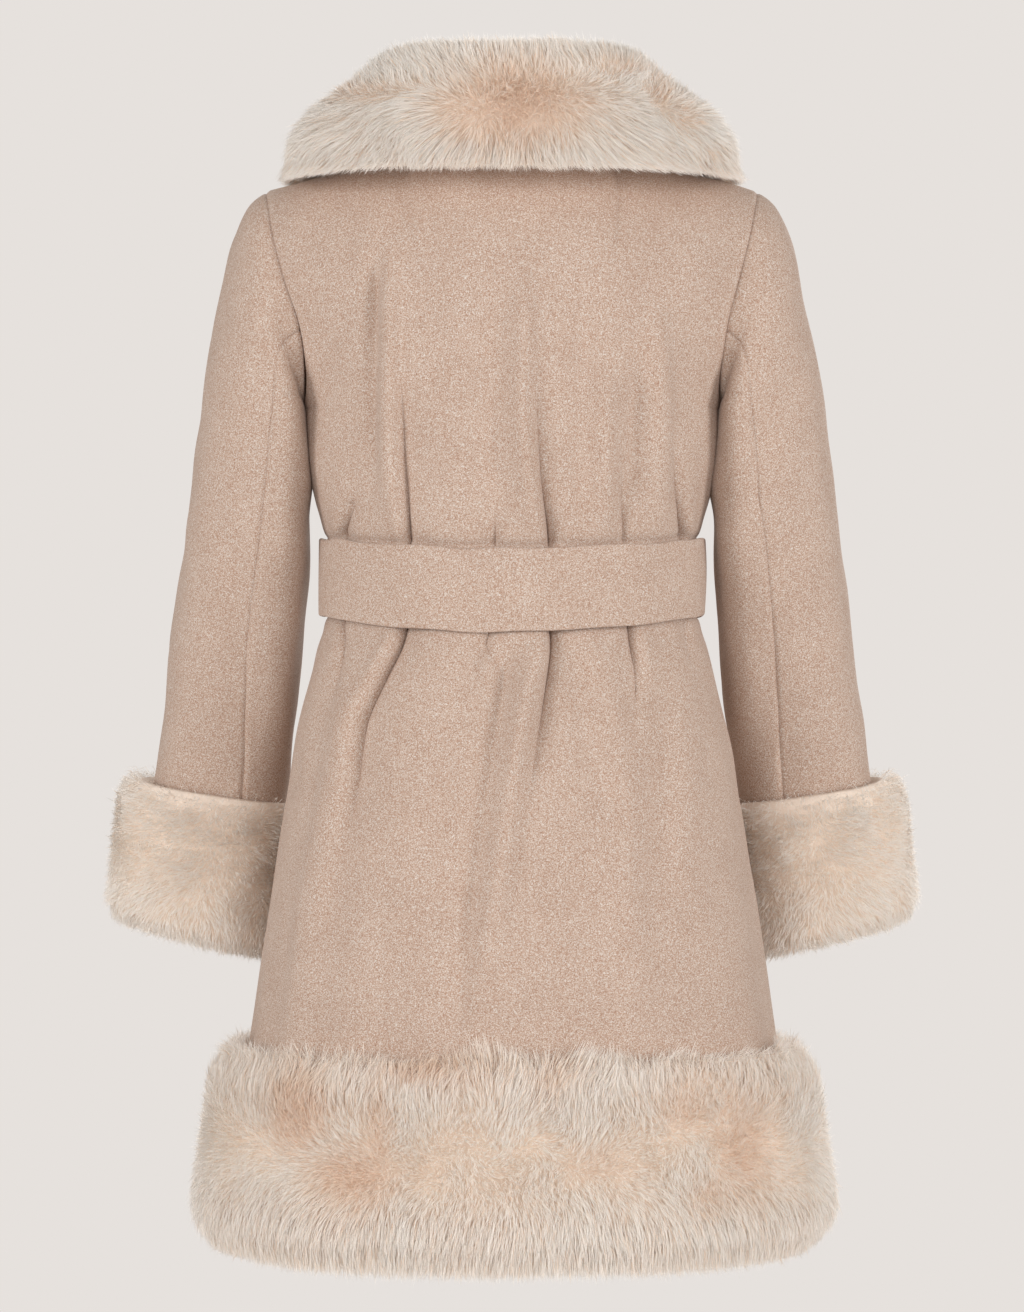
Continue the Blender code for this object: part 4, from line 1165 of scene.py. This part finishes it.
    # each fibre shades as a round one, and a little as the surface that they make up
    own = unit(np.cross(across, run))
    soft = unit(0.22 * unit(at(normal, tu, tv)) + 0.78 * own)
    shade = np.stack(
        [unit(0.3 * n + 0.7 * own), unit(0.66 * soft - 0.75 * across), unit(0.66 * soft + 0.75 * across), soft], 1
    ).reshape(-1, 3)
    me.normals_split_custom_set_from_vertices(shade.astype(np.float32))
    mixed = 0.40 + 0.75 * rng.random(count) + 0.45 * lock
    fleck = (rng.random(count) < 0.10 + 0.30 * tan) * (0.35 + 0.60 * rng.random(count))
    tone = np.clip(tan * mixed + fleck + 0.10 * (lock - 0.5) + 0.05 * rng.normal(size=count), 0.02, 0.98)
    along = np.tile([0.02, 0.50, 0.50, 0.98], count)
    for key_name, values in (("tone", np.repeat(tone, 4)), ("along", along)):
        attr = me.attributes.new(key_name, "FLOAT", "POINT")
        attr.data.foreach_set("value", values.astype(np.float32))
    side = np.tile([0.0, -1.0, 1.0, 0.0], count) * 0.008
    uv_point = np.stack([np.repeat(tone, 4) + side, along], -1)
    loops = np.zeros(len(me.loops), np.int32)
    me.loops.foreach_get("vertex_index", loops)
    layer = me.uv_layers.new(name="OFBake")
    layer.data.foreach_set("uv", np.clip(uv_point[loops], 0.002, 0.998).astype(np.float32).ravel())
    return add_object(name, me, pile)


# Places where the pile parts and points outwards, on the back: x, z, radii, strength.
Cowlick = namedtuple("Cowlick", "x z rx rz tan")
HEM_COWLICKS = (
    Cowlick(-0.171, -0.762, 0.022, 0.026, 0.85),
    Cowlick(-0.128, -0.812, 0.026, 0.020, 0.80),
    Cowlick(-0.107, -0.780, 0.008, 0.040, 0.60),
    Cowlick(-0.070, -0.728, 0.032, 0.011, 0.75),
    Cowlick(0.032, -0.740, 0.016, 0.012, 0.40),
    Cowlick(0.070, -0.800, 0.020, 0.012, 0.14),
    Cowlick(0.135, -0.758, 0.016, 0.014, 0.28),
    Cowlick(0.185, -0.795, 0.016, 0.036, 0.48),
    Cowlick(0.158, -0.828, 0.014, 0.012, 0.40),
)
COLLAR_COWLICKS = (
    Cowlick(0.003, 0.036, 0.049, 0.022, 0.84),
    Cowlick(-0.036, 0.030, 0.016, 0.010, 0.40),
    Cowlick(0.122, 0.052, 0.009, 0.013, 0.45),
    Cowlick(0.139, 0.034, 0.009, 0.010, 0.35),
    Cowlick(0.092, 0.068, 0.020, 0.005, 0.40),
    Cowlick(-0.105, 0.050, 0.030, 0.004, 0.30),
    Cowlick(-0.138, 0.055, 0.006, 0.006, 0.35),
)


def cowlick_field(where, cowlicks):
    """Sum over the cowlicks of closeness, tan and outward pushes (x, z)."""
    near = np.zeros(len(where))
    tan = np.zeros(len(where))
    push = np.zeros((len(where), 2))
    behind = where[:, 1] < 0.02
    for c in cowlicks:
        dx, dz = (where[:, 0] - c.x) / c.rx, (where[:, 2] - c.z) / c.rz
        g = np.exp(-(dx * dx + dz * dz) * 0.8) * behind
        near = np.maximum(near, g)
        tan = np.maximum(tan, g * c.tan)
        ring = np.exp(-((np.hypot(dx, dz) - 1.3) ** 2) * 1.4) * behind
        push = push + ring[:, None] * np.stack([dx, dz], -1)
    return near, tan, push


def band_backing(name, skin, inner):
    """The fur cloth's ground, closed round the section of a band."""
    loop = np.concatenate([skin, inner[::-1]], 0)
    return loop


# Hem band, one length for each panel.
def hem_reach(along):
    return 0.028 + 0.004 * np.clip(along / 0.75, 0, 1)


def hem_surface(a_lines, p, over, depth, inset):
    """Grid over the section p and the angles a_lines(z) at that share of the reach."""
    along, r = band_profile(p)
    along = 1.8 * inset + (1 - 2.8 * inset) * along
    z = HEM_FUR_TOP + (HEM_FUR_BOTTOM - HEM_FUR_TOP) * along
    rows = []
    for zi, ai, ri in zip(z, along, r):
        a = a_lines(zi)
        stand = CLOTH + FUR_GAP
        if over:
            stand = stand + LAP * lap_ramp(half_width(zi) * np.sin(a))
        rows.append(body_point(a, zi, stand + hem_reach(ai) * (depth[0] + (depth[1] - depth[0]) * ri)))
    return np.stack(rows)


def hem_comb(seed, cowlicks):
    def comb(where, u, v):
        parting = 0.31 + 0.09 * waves(where, 0.16, seed) + 0.05 * waves(where, 0.05, seed + 1)
        down = np.tanh((u - parting) / 0.26)
        side = 0.30 * waves(where, 0.13, seed + 2) + 0.26 * waves(where, 0.045, seed + 3)
        side = side * (1 - 0.6 * smooth(np.abs(where[:, 0]), 0.150, 0.200))
        side = side * (1 - 0.65 * smooth(u, 0.62, 0.85)) * (1 + 0.7 * (1 - smooth(u, 0.12, 0.32)))
        down = down + 0.30 * waves(where, 0.07, seed + 5) * (1 - smooth(u, 0.55, 0.8)) * smooth(u, 0.08, 0.25)
        near, tan, push = cowlick_field(where, cowlicks)
        upright = 1 - 0.48 * smooth(u, 0.14, 0.30) * (1 - smooth(u, 0.60, 0.82))
        lean_u = (down * 0.95 * upright - push[:, 1] * 0.08) * (1 - 0.55 * near)
        lean_v = (0.8 * side * upright + push[:, 0] * 0.10) * (1 - 0.55 * near)
        lean = np.hypot(lean_u, lean_v)
        patch = 0.5 + 0.5 * np.tanh(1.2 * waves(where, 0.11, seed + 4))
        # low: fibres grow tanner toward the bottom turn of the band, painted shade on its underside
        low = smooth(u, 0.60, 0.85)
        tone = 0.02 + 0.06 * (1 - np.clip(lean / 0.8, 0, 1)) * patch + tan * 0.88 + 0.07 * patch + 0.09 * low + 0.10 * (1 - smooth(u, 0.14, 0.34))
        return lean_u, lean_v, tone

    return comb


UP, DOWN = np.array([0.0, 0.0, 1.0]), np.array([0.0, 0.0, -1.0])


def hem_piece(name, a_lines, over, count, seed, cowlicks):
    p = np.linspace(0, 1, 31)
    skin = hem_surface(a_lines, p, over, (0.10, 0.70), 0.045)
    reach = hem_surface(a_lines, p, over, (0.0, 1.0), 0.0)
    inner = hem_surface(a_lines, p[2:-2:4], over, (0.02, 0.02), 0.045)
    n, _ = grid_normals(reach, axis_at(reach))
    backing = tube(f"{name}_backing", np.swapaxes(np.concatenate([skin, inner[::-1]]), 0, 1), ground, caps=True)
    finish_piece(backing, "fur", name)

    def up(where):
        lift = 0.35 + 0.55 * np.exp(-((where[:, 0] / 0.16) ** 4)) * (where[:, 1] < 0)
        lift = lift * (1 + 0.45 * waves(where, 0.045, seed + 8))
        out = where * np.array([1.0, 1.0, 0.0])
        along = np.stack([0.45 * waves(where, 0.06, seed + 9), 0 * lift, 0 * lift], -1)
        return UP * lift[:, None] + unit(out) * 0.30 + along

    def down(where):
        drop = 0.10 + 1.15 * np.exp(-((where[:, 0] / 0.215) ** 6))
        return DOWN * drop[:, None]

    strands = fur(
        f"{name}_pile", skin, reach, n, hem_comb(seed, cowlicks), count, seed,
        lambda q: 0.55 + 0.75 * smooth(q, 0.02, 0.18) - 0.55 * smooth(q, 0.90, 1.0),
        u_limits=(0.085, 0.895, 0.955), overflow=(up, down),
    )
    finish_piece(strands, "fur")
    note_cut(name, reach[4:-4])
    return backing, strands


seam_angle = SEAM / 2 / 0.22
quarter = math.pi / 2


def spread(start, end, cols):
    t = np.linspace(0, 1, cols + 1)
    return lambda z: start(z) + (end(z) - start(z)) * t


hem_lines = (
    ("hem_fur_back", spread(lambda z: seam_angle - quarter, lambda z: quarter - seam_angle, 150), False, 95000, 101, HEM_COWLICKS),
    ("hem_fur_front_right", spread(lambda z: quarter + seam_angle, lambda z: math.pi + lap_angle(z), 80), True, 42000, 131, ()),
    (
        "hem_fur_front_left",
        spread(lambda z: math.pi + lap_angle(z) + 4 * seam_angle, lambda z: 3 * quarter - seam_angle, 64),
        False, 35000, 161, (),
    ),
)
trims = {}
for name, a_lines, over, count, seed, cowlicks in hem_lines:
    trims[name] = hem_piece(name, a_lines, over, count, seed, cowlicks)


# Cuffs
def cuff_reach(phi):
    at = np.radians([-90, 0, 90, 180, 270, 360])
    k = CUFF_REACH
    return pchip(at, [k[3], k[0], k[1], k[2], k[3], k[0]])(phi)


def cuff_surface(p, phi, depth, inset, flare):
    along, r = band_profile(p, 0.5)
    along = 1.8 * inset + (1 - 2.8 * inset) * along
    rows = []
    for ai, ri in zip(along, r):
        t = CUFF_TOP + (CUFF_BOTTOM - CUFF_TOP) * ai
        stand = CLOTH + FUR_GAP + 0.0004
        off = flare * np.clip(np.cos(phi), 0, 1) ** 1.5 * (1 - smooth(ai, 0.0, 0.45)) * (1 - ri)
        rows.append(sleeve_point(phi, t, stand + cuff_reach(phi) * (depth[0] + (depth[1] - depth[0]) * ri) + off))
    return np.stack(rows)


def cuff_comb(seed):
    def comb(where, u, v):
        phi = v * 2 * math.pi
        outer = np.clip(np.cos(phi), 0, 1)
        down = 1.15 - 0.30 * smooth(u, 0.08, 0.36)
        # fibres sweep from the inner side to the outer edge as they run down
        sweep = -0.55 * np.sin(phi) * outer
        side = sweep + 0.20 * waves(where, 0.07, seed + 1) + 0.14 * waves(where, 0.03, seed + 2)
        patch = 0.5 + 0.5 * np.tanh(1.3 * waves(where, 0.06, seed + 3))
        # the second term makes the inner side, facing the body, tanner: painted shade
        tone = 0.04 * patch + 0.05 * np.clip(-np.cos(phi), 0, 1)
        return 0.95 * down, side, tone

    return comb


def cuff_piece(side, sign):
    p = np.linspace(0, 1, 29)
    phi = np.linspace(0, 2 * math.pi, 72, endpoint=False)
    scale = MIRROR if sign < 0 else np.ones(3)
    skin = cuff_surface(p, phi, (0.10, 0.68), 0.05, 0.006) * scale
    reach = cuff_surface(p, phi, (0.0, 1.0), 0.0, 0.008) * scale
    inner = cuff_surface(p[2:-2:4], phi, (0.02, 0.02), 0.06, 0.005) * scale
    middle = np.stack([sleeve_rings_middle(CUFF_TOP + (CUFF_BOTTOM - CUFF_TOP) * a) for a in band_profile(p)[0]])[:, None]
    n, _ = grid_normals(reach, middle * scale, closed_v=True)
    name = f"cuff_{side}"
    backing = tube(f"{name}_backing", np.concatenate([skin, inner[::-1]]), ground)
    finish_piece(backing, "fur", name)
    axis = unit(sleeve_rings_middle(CUFF_BOTTOM) - sleeve_rings_middle(CUFF_TOP)) * scale
    strands = fur(
        f"{name}_pile", skin, reach, n, cuff_comb(201 + (sign < 0) * 30), 40000, 211 + (sign < 0) * 30,
        lambda q: 0.05 + 1.15 * smooth(q, 0.03, 0.13) - 0.5 * smooth(q, 0.90, 1.0),
        closed_v=True, u_limits=(0.10, 0.900, 0.950),
        overflow=(lambda w: 0 * w, lambda w: 0.55 * axis[None] + 0 * w), length=0.0135, width=0.00054,
    )
    finish_piece(strands, "fur")
    note_cut(name, np.concatenate([reach, reach[:, :1]], 1)[4:-4])
    return backing, strands


for side, sign in (("right", 1), ("left", -1)):
    trims[f"cuff_{side}"] = cuff_piece(side, sign)


# Collar
def collar_loop(row):
    s = np.array([row.seam_x, row.seam_y, row.seam_z])
    r = np.array([row.roll_x, row.roll_y, row.roll_z])
    e = np.array([row.edge_x, row.edge_y, row.edge_z])
    outward = unit((e - s) * np.array([1, 1, 0]))
    up = np.array([0, 0, 1.0])
    fall = unit(e - r)
    lobe = 0.007 * float(smooth(row.edge_x, 0.120, 0.175))
    return np.stack(
        [
            s,
            (s + r) / 2 - outward * 0.002,
            r - outward * 0.010 - up * 0.014,
            r - outward * 0.003 - up * 0.002,
            r + outward * 0.010 - up * 0.001,
            r + fall * 0.034 + outward * 0.008 + up * 0.006,
            (r + e) / 2 + fall * 0.008 + outward * (0.012 + lobe) + up * 0.010,
            e - fall * 0.020 + outward * (0.006 + lobe) + up * 0.006,
            e + up * 0.002,
            e - outward * 0.014 - up * 0.001,
            e + (s - e) * 0.72 + up * 0.006,
            s + outward * 0.012 + up * 0.006,
        ]
    )


def lapel_loop(row):
    phi = math.acos(2 * row.w - 1)

    def panel(s, q):
        p, b = front_upper(np.array([s]), np.array([q]))
        return lap_lift(p, b)[0]

    p = panel(0.0, phi)
    across = unit(panel(0.06, phi) - p)
    along = unit(panel(0.0, phi - 0.05) - p)
    off = unit(np.cross(across, along))
    if off[1] < 0:
        off = -off
    clear = CLOTH + LAP + 0.0015 + row.lift
    f, h = row.fall, row.thick
    return np.stack(
        [
            p + across * x + off * (clear + y)
            for x, y in (
                (0.000, 0.000), (-0.006, 0.35 * h), (-0.006, 0.75 * h), (0.002, 0.98 * h),
                (0.016, 1.06 * h), (0.33 * f, 1.08 * h), (0.60 * f, 0.98 * h), (0.86 * f, 0.72 * h),
                (1.00 * f, 0.36 * h), (0.94 * f, 0.06 * h), (0.45 * f, 0.000), (0.15 * f, 0.000),
            )
        ]
    )


def collar_grid(around, stations):
    """Rows round the section (closed), columns from the left front to the right front."""
    keys = np.stack([collar_loop(r) for r in COLLAR_BACK] + [lapel_loop(r) for r in COLLAR_FRONT])
    right = pchip(np.arange(len(keys)), keys)(np.linspace(0, len(keys) - 1, stations))
    loops = np.concatenate([(right * MIRROR)[:0:-1], right])  # (columns, 12, 3)
    wrapped = np.concatenate([loops[:, -3:], loops, loops[:, :4]], 1)
    at = pchip(np.arange(-3, 16), np.swapaxes(wrapped, 0, 1))
    return at(around)


def collar_comb(where, u, v):
    w = 0.4 + u * 8.2  # place round the section: 3.5 the roll, 8 the lower edge
    beside = np.abs(v - 0.5) * 2  # 0 at centre back, 1 at the front ends
    side = np.sign(v - 0.5)
    back = 1 - smooth(beside, 0.42, 0.62)
    parting = 5.35 + 0.25 * waves(where, 0.12, 301) - 0.6 * (1 - back)
    down = np.tanh((w - parting) / 0.85)
    sweep = side * (0.30 + 0.45 * smooth(beside, 0.04, 0.30)) * smooth(beside, 0.0, 0.10)
    sweep = sweep * (1 - 0.45 * smooth(w, 6.3, 7.6))
    sweep = sweep + 0.22 * waves(where, 0.11, 302) + 0.16 * waves(where, 0.04, 303)
    inside = 1 - smooth(w, 2.4, 3.6)
    down = down * (1 - inside) - 0.8 * inside
    near, tan, push = cowlick_field(where, COLLAR_COWLICKS)
    ends = smooth(beside, 0.93, 1.0)
    lean_u = (0.95 * down - push[:, 1] * 0.55) * (1 - 0.85 * near) * (1 - 0.5 * ends)
    lean_v = (sweep + push[:, 0] * 0.55) * (1 - 0.85 * near) + 0.8 * side * ends
    patch = 0.5 + 0.5 * np.tanh(1.2 * waves(where, 0.09, 304))
    lean = np.hypot(lean_u, lean_v)
    # 0.05 * smooth(w, 6.4, 7.4) makes the fibres tanner toward the lower edge: painted shade where the collar turns
    # under
    tone = 0.01 + 0.18 * (1 - np.clip(lean / 0.8, 0, 1)) * patch + 0.9 * tan + 0.08 * patch + 0.05 * smooth(w, 6.4, 7.4)
    return lean_u, lean_v, tone


def collar_piece():
    around = np.linspace(0.4, 8.6, 46)
    reach = collar_grid(around, 56)
    full = collar_grid(np.linspace(0, 12, 61)[:-1], 56)
    centre = np.repeat(full.mean(0)[None], len(full), 0)
    n_full, _ = grid_normals(full, centre, closed_u=True)
    w = np.linspace(0, 12, 61)[:-1]
    at_depth = pchip([0, 1.5, 3, 3.6, 5, 6.5, 7.5, 8.2, 9, 12], [0.002, 0.005, 0.006, 0.007, 0.009, 0.010, 0.0075, 0.004, 0.002, 0.002])
    skin_full = full - n_full * at_depth(w)[:, None, None]
    wrapped = np.concatenate([skin_full, skin_full[:1]])
    inside = skin_full - n_full * 0.0022
    inside[:, 0] = inside[:, 0] + unit(skin_full[:, 1] - skin_full[:, 0]).mean(0) * 0.002
    inside[:, -1] = inside[:, -1] + unit(skin_full[:, -2] - skin_full[:, -1]).mean(0) * 0.002
    backing = wall("collar_backing", np.swapaxes(skin_full, 0, 1), np.swapaxes(inside, 0, 1), ground)
    finish_piece(backing, "fur", "collar")
    skin = pchip(np.linspace(0, 12, 61), wrapped)(around)
    n = pchip(np.linspace(0, 12, 61), np.concatenate([n_full, n_full[:1]]))(around)
    n = unit(n)
    fall = unit(reach[-8] - reach[-16])
    edge_dir = np.concatenate([fall[:1], fall, fall[-1:]])
    xs = reach[-8]

    def off_edge(where):
        d = ((where[:, None, :2] - xs[None, :, :2]) ** 2).sum(-1).argmin(1)
        return edge_dir[1:-1][d]

    strands = fur(
        "collar_pile", skin, reach, n, collar_comb, 97000, 311,
        lambda q: 0.35 + 0.40 * (1 - smooth(q, 0.06, 0.18)) + 0.85 * smooth(q, 0.26, 0.40) - 0.6 * smooth(q, 0.93, 1.0),
        u_limits=(0.0, 0.885, 0.905), overflow=(lambda w: 0 * w, off_edge), length=0.0175,
    )
    finish_piece(strands, "fur")
    note_cut("collar", wrapped)
    return backing, strands


trims["collar"] = collar_piece()

# -------------------------------------------------------------- flat sizes of each piece
for name in ("back", "front_right", "front_left"):
    w, l, area = cut[name]
for side in ("right", "left"):
    for piece in ("upper", "under"):
        w, l, area = cut[f"sleeve_{side}_{piece}"]
    w, l, area = cut[f"belt_tail_{side}"]
w, l, area = cut["belt"]
for name, (backing, strands) in trims.items():
    w, l, area = cut[name]
print("CUT", json.dumps({k: [round(x, 4) for x in v] for k, v in cut.items()}))

# -------------------------------------------------------------------------- stage
FLOOR_Z = -3.3


def floor_disc():
    rings, spokes = 6, 96
    r = np.linspace(0, 3.0, rings + 1)[1:]
    q = np.linspace(0, 2 * math.pi, spokes, endpoint=False)
    pts = np.stack([r[:, None] * np.cos(q), r[:, None] * np.sin(q), np.full((rings, spokes), FLOOR_Z)], -1)
    verts = np.concatenate([pts.reshape(-1, 3), [[0, 0, FLOOR_Z]]])
    j = np.arange(spokes)
    tris = np.stack([j, (j + 1) % spokes, 0 * j + rings * spokes], -1)
    quads = grid_quads(rings, spokes, closed_v=True)[:, ::-1]
    m, t, b = start_material("pale_floor")
    b.inputs["Base Color"].default_value = (0.68, 0.645, 0.620, 1.0)
    b.inputs["Emission Color"].default_value = (0.791, 0.753, 0.723, 1.0)
    b.inputs["Emission Strength"].default_value = 0.42
    b.inputs["Roughness"].default_value = 0.9
    ob = add_object("floor", new_mesh("floor", verts, quads, tris), m)


floor_disc()

world = bpy.data.worlds.new("studio")
bpy.context.scene.world = world
world.use_nodes = True
world.node_tree.nodes["Background"].inputs["Color"].default_value = (0.791, 0.753, 0.723, 1.0)
world.node_tree.nodes["Background"].inputs["Strength"].default_value = 1.0
softer = world.node_tree.nodes.new("ShaderNodeBackground")
softer.inputs["Color"].default_value = (0.80, 0.77, 0.74, 1.0)
softer.inputs["Strength"].default_value = 0.45
pick = world.node_tree.nodes.new("ShaderNodeMixShader")
seen = world.node_tree.nodes.new("ShaderNodeLightPath")
links = world.node_tree.links
links.new(seen.outputs["Is Camera Ray"], pick.inputs[0])
links.new(softer.outputs[0], pick.inputs[1])
links.new(world.node_tree.nodes["Background"].outputs[0], pick.inputs[2])
links.new(pick.outputs[0], world.node_tree.nodes["World Output"].inputs["Surface"])


def area_light(name, place, aim, size, power, colour=(1.0, 1.0, 1.0)):
    data = bpy.data.lights.new(name, "AREA")
    data.shape = "RECTANGLE"
    data.size, data.size_y = size
    data.energy = power
    data.color = colour
    ob = bpy.data.objects.new(name, data)
    ob.location = place
    ob.rotation_euler = (Vector(aim) - Vector(place)).to_track_quat("-Z", "Y").to_euler()
    ob.visible_camera = False
    bpy.context.scene.collection.objects.link(ob)


area_light("right_side", (3.35, -2.15, 0.02), (0, 0, -0.42), (1.3, 2.0), 76.0, (1.0, 0.985, 0.97))
area_light("left_side", (-3.35, -2.15, 0.02), (0, 0, -0.42), (1.3, 2.0), 72.5, (1.0, 0.985, 0.97))
area_light("right_front", (1.45, -3.85, 0.05), (0, 0, -0.40), (1.2, 1.8), 36.5, (1.0, 0.985, 0.97))
area_light("left_front", (-1.45, -3.85, 0.05), (0, 0, -0.40), (1.2, 1.8), 35.5, (1.0, 0.985, 0.97))
area_light("front_side", (0.8, 3.6, 0.6), (0, 0, -0.4), (2.2, 2.2), 92.0, (1.0, 0.985, 0.97))

camera = bpy.data.cameras.new("camera")
camera.sensor_width = 36.0
camera.lens = 36.0 * 4.0 / 1.07584
camera.clip_start, camera.clip_end = 0.05, 50.0
eye = bpy.data.objects.new("camera", camera)
eye.location = (0.0, -4.0, -0.4063)
eye.rotation_euler = (math.pi / 2, 0.0, 0.0)
bpy.context.scene.collection.objects.link(eye)
bpy.context.scene.camera = eye
bpy.context.scene.view_settings.view_transform = "Standard"
bpy.context.scene.view_settings.look = "None"
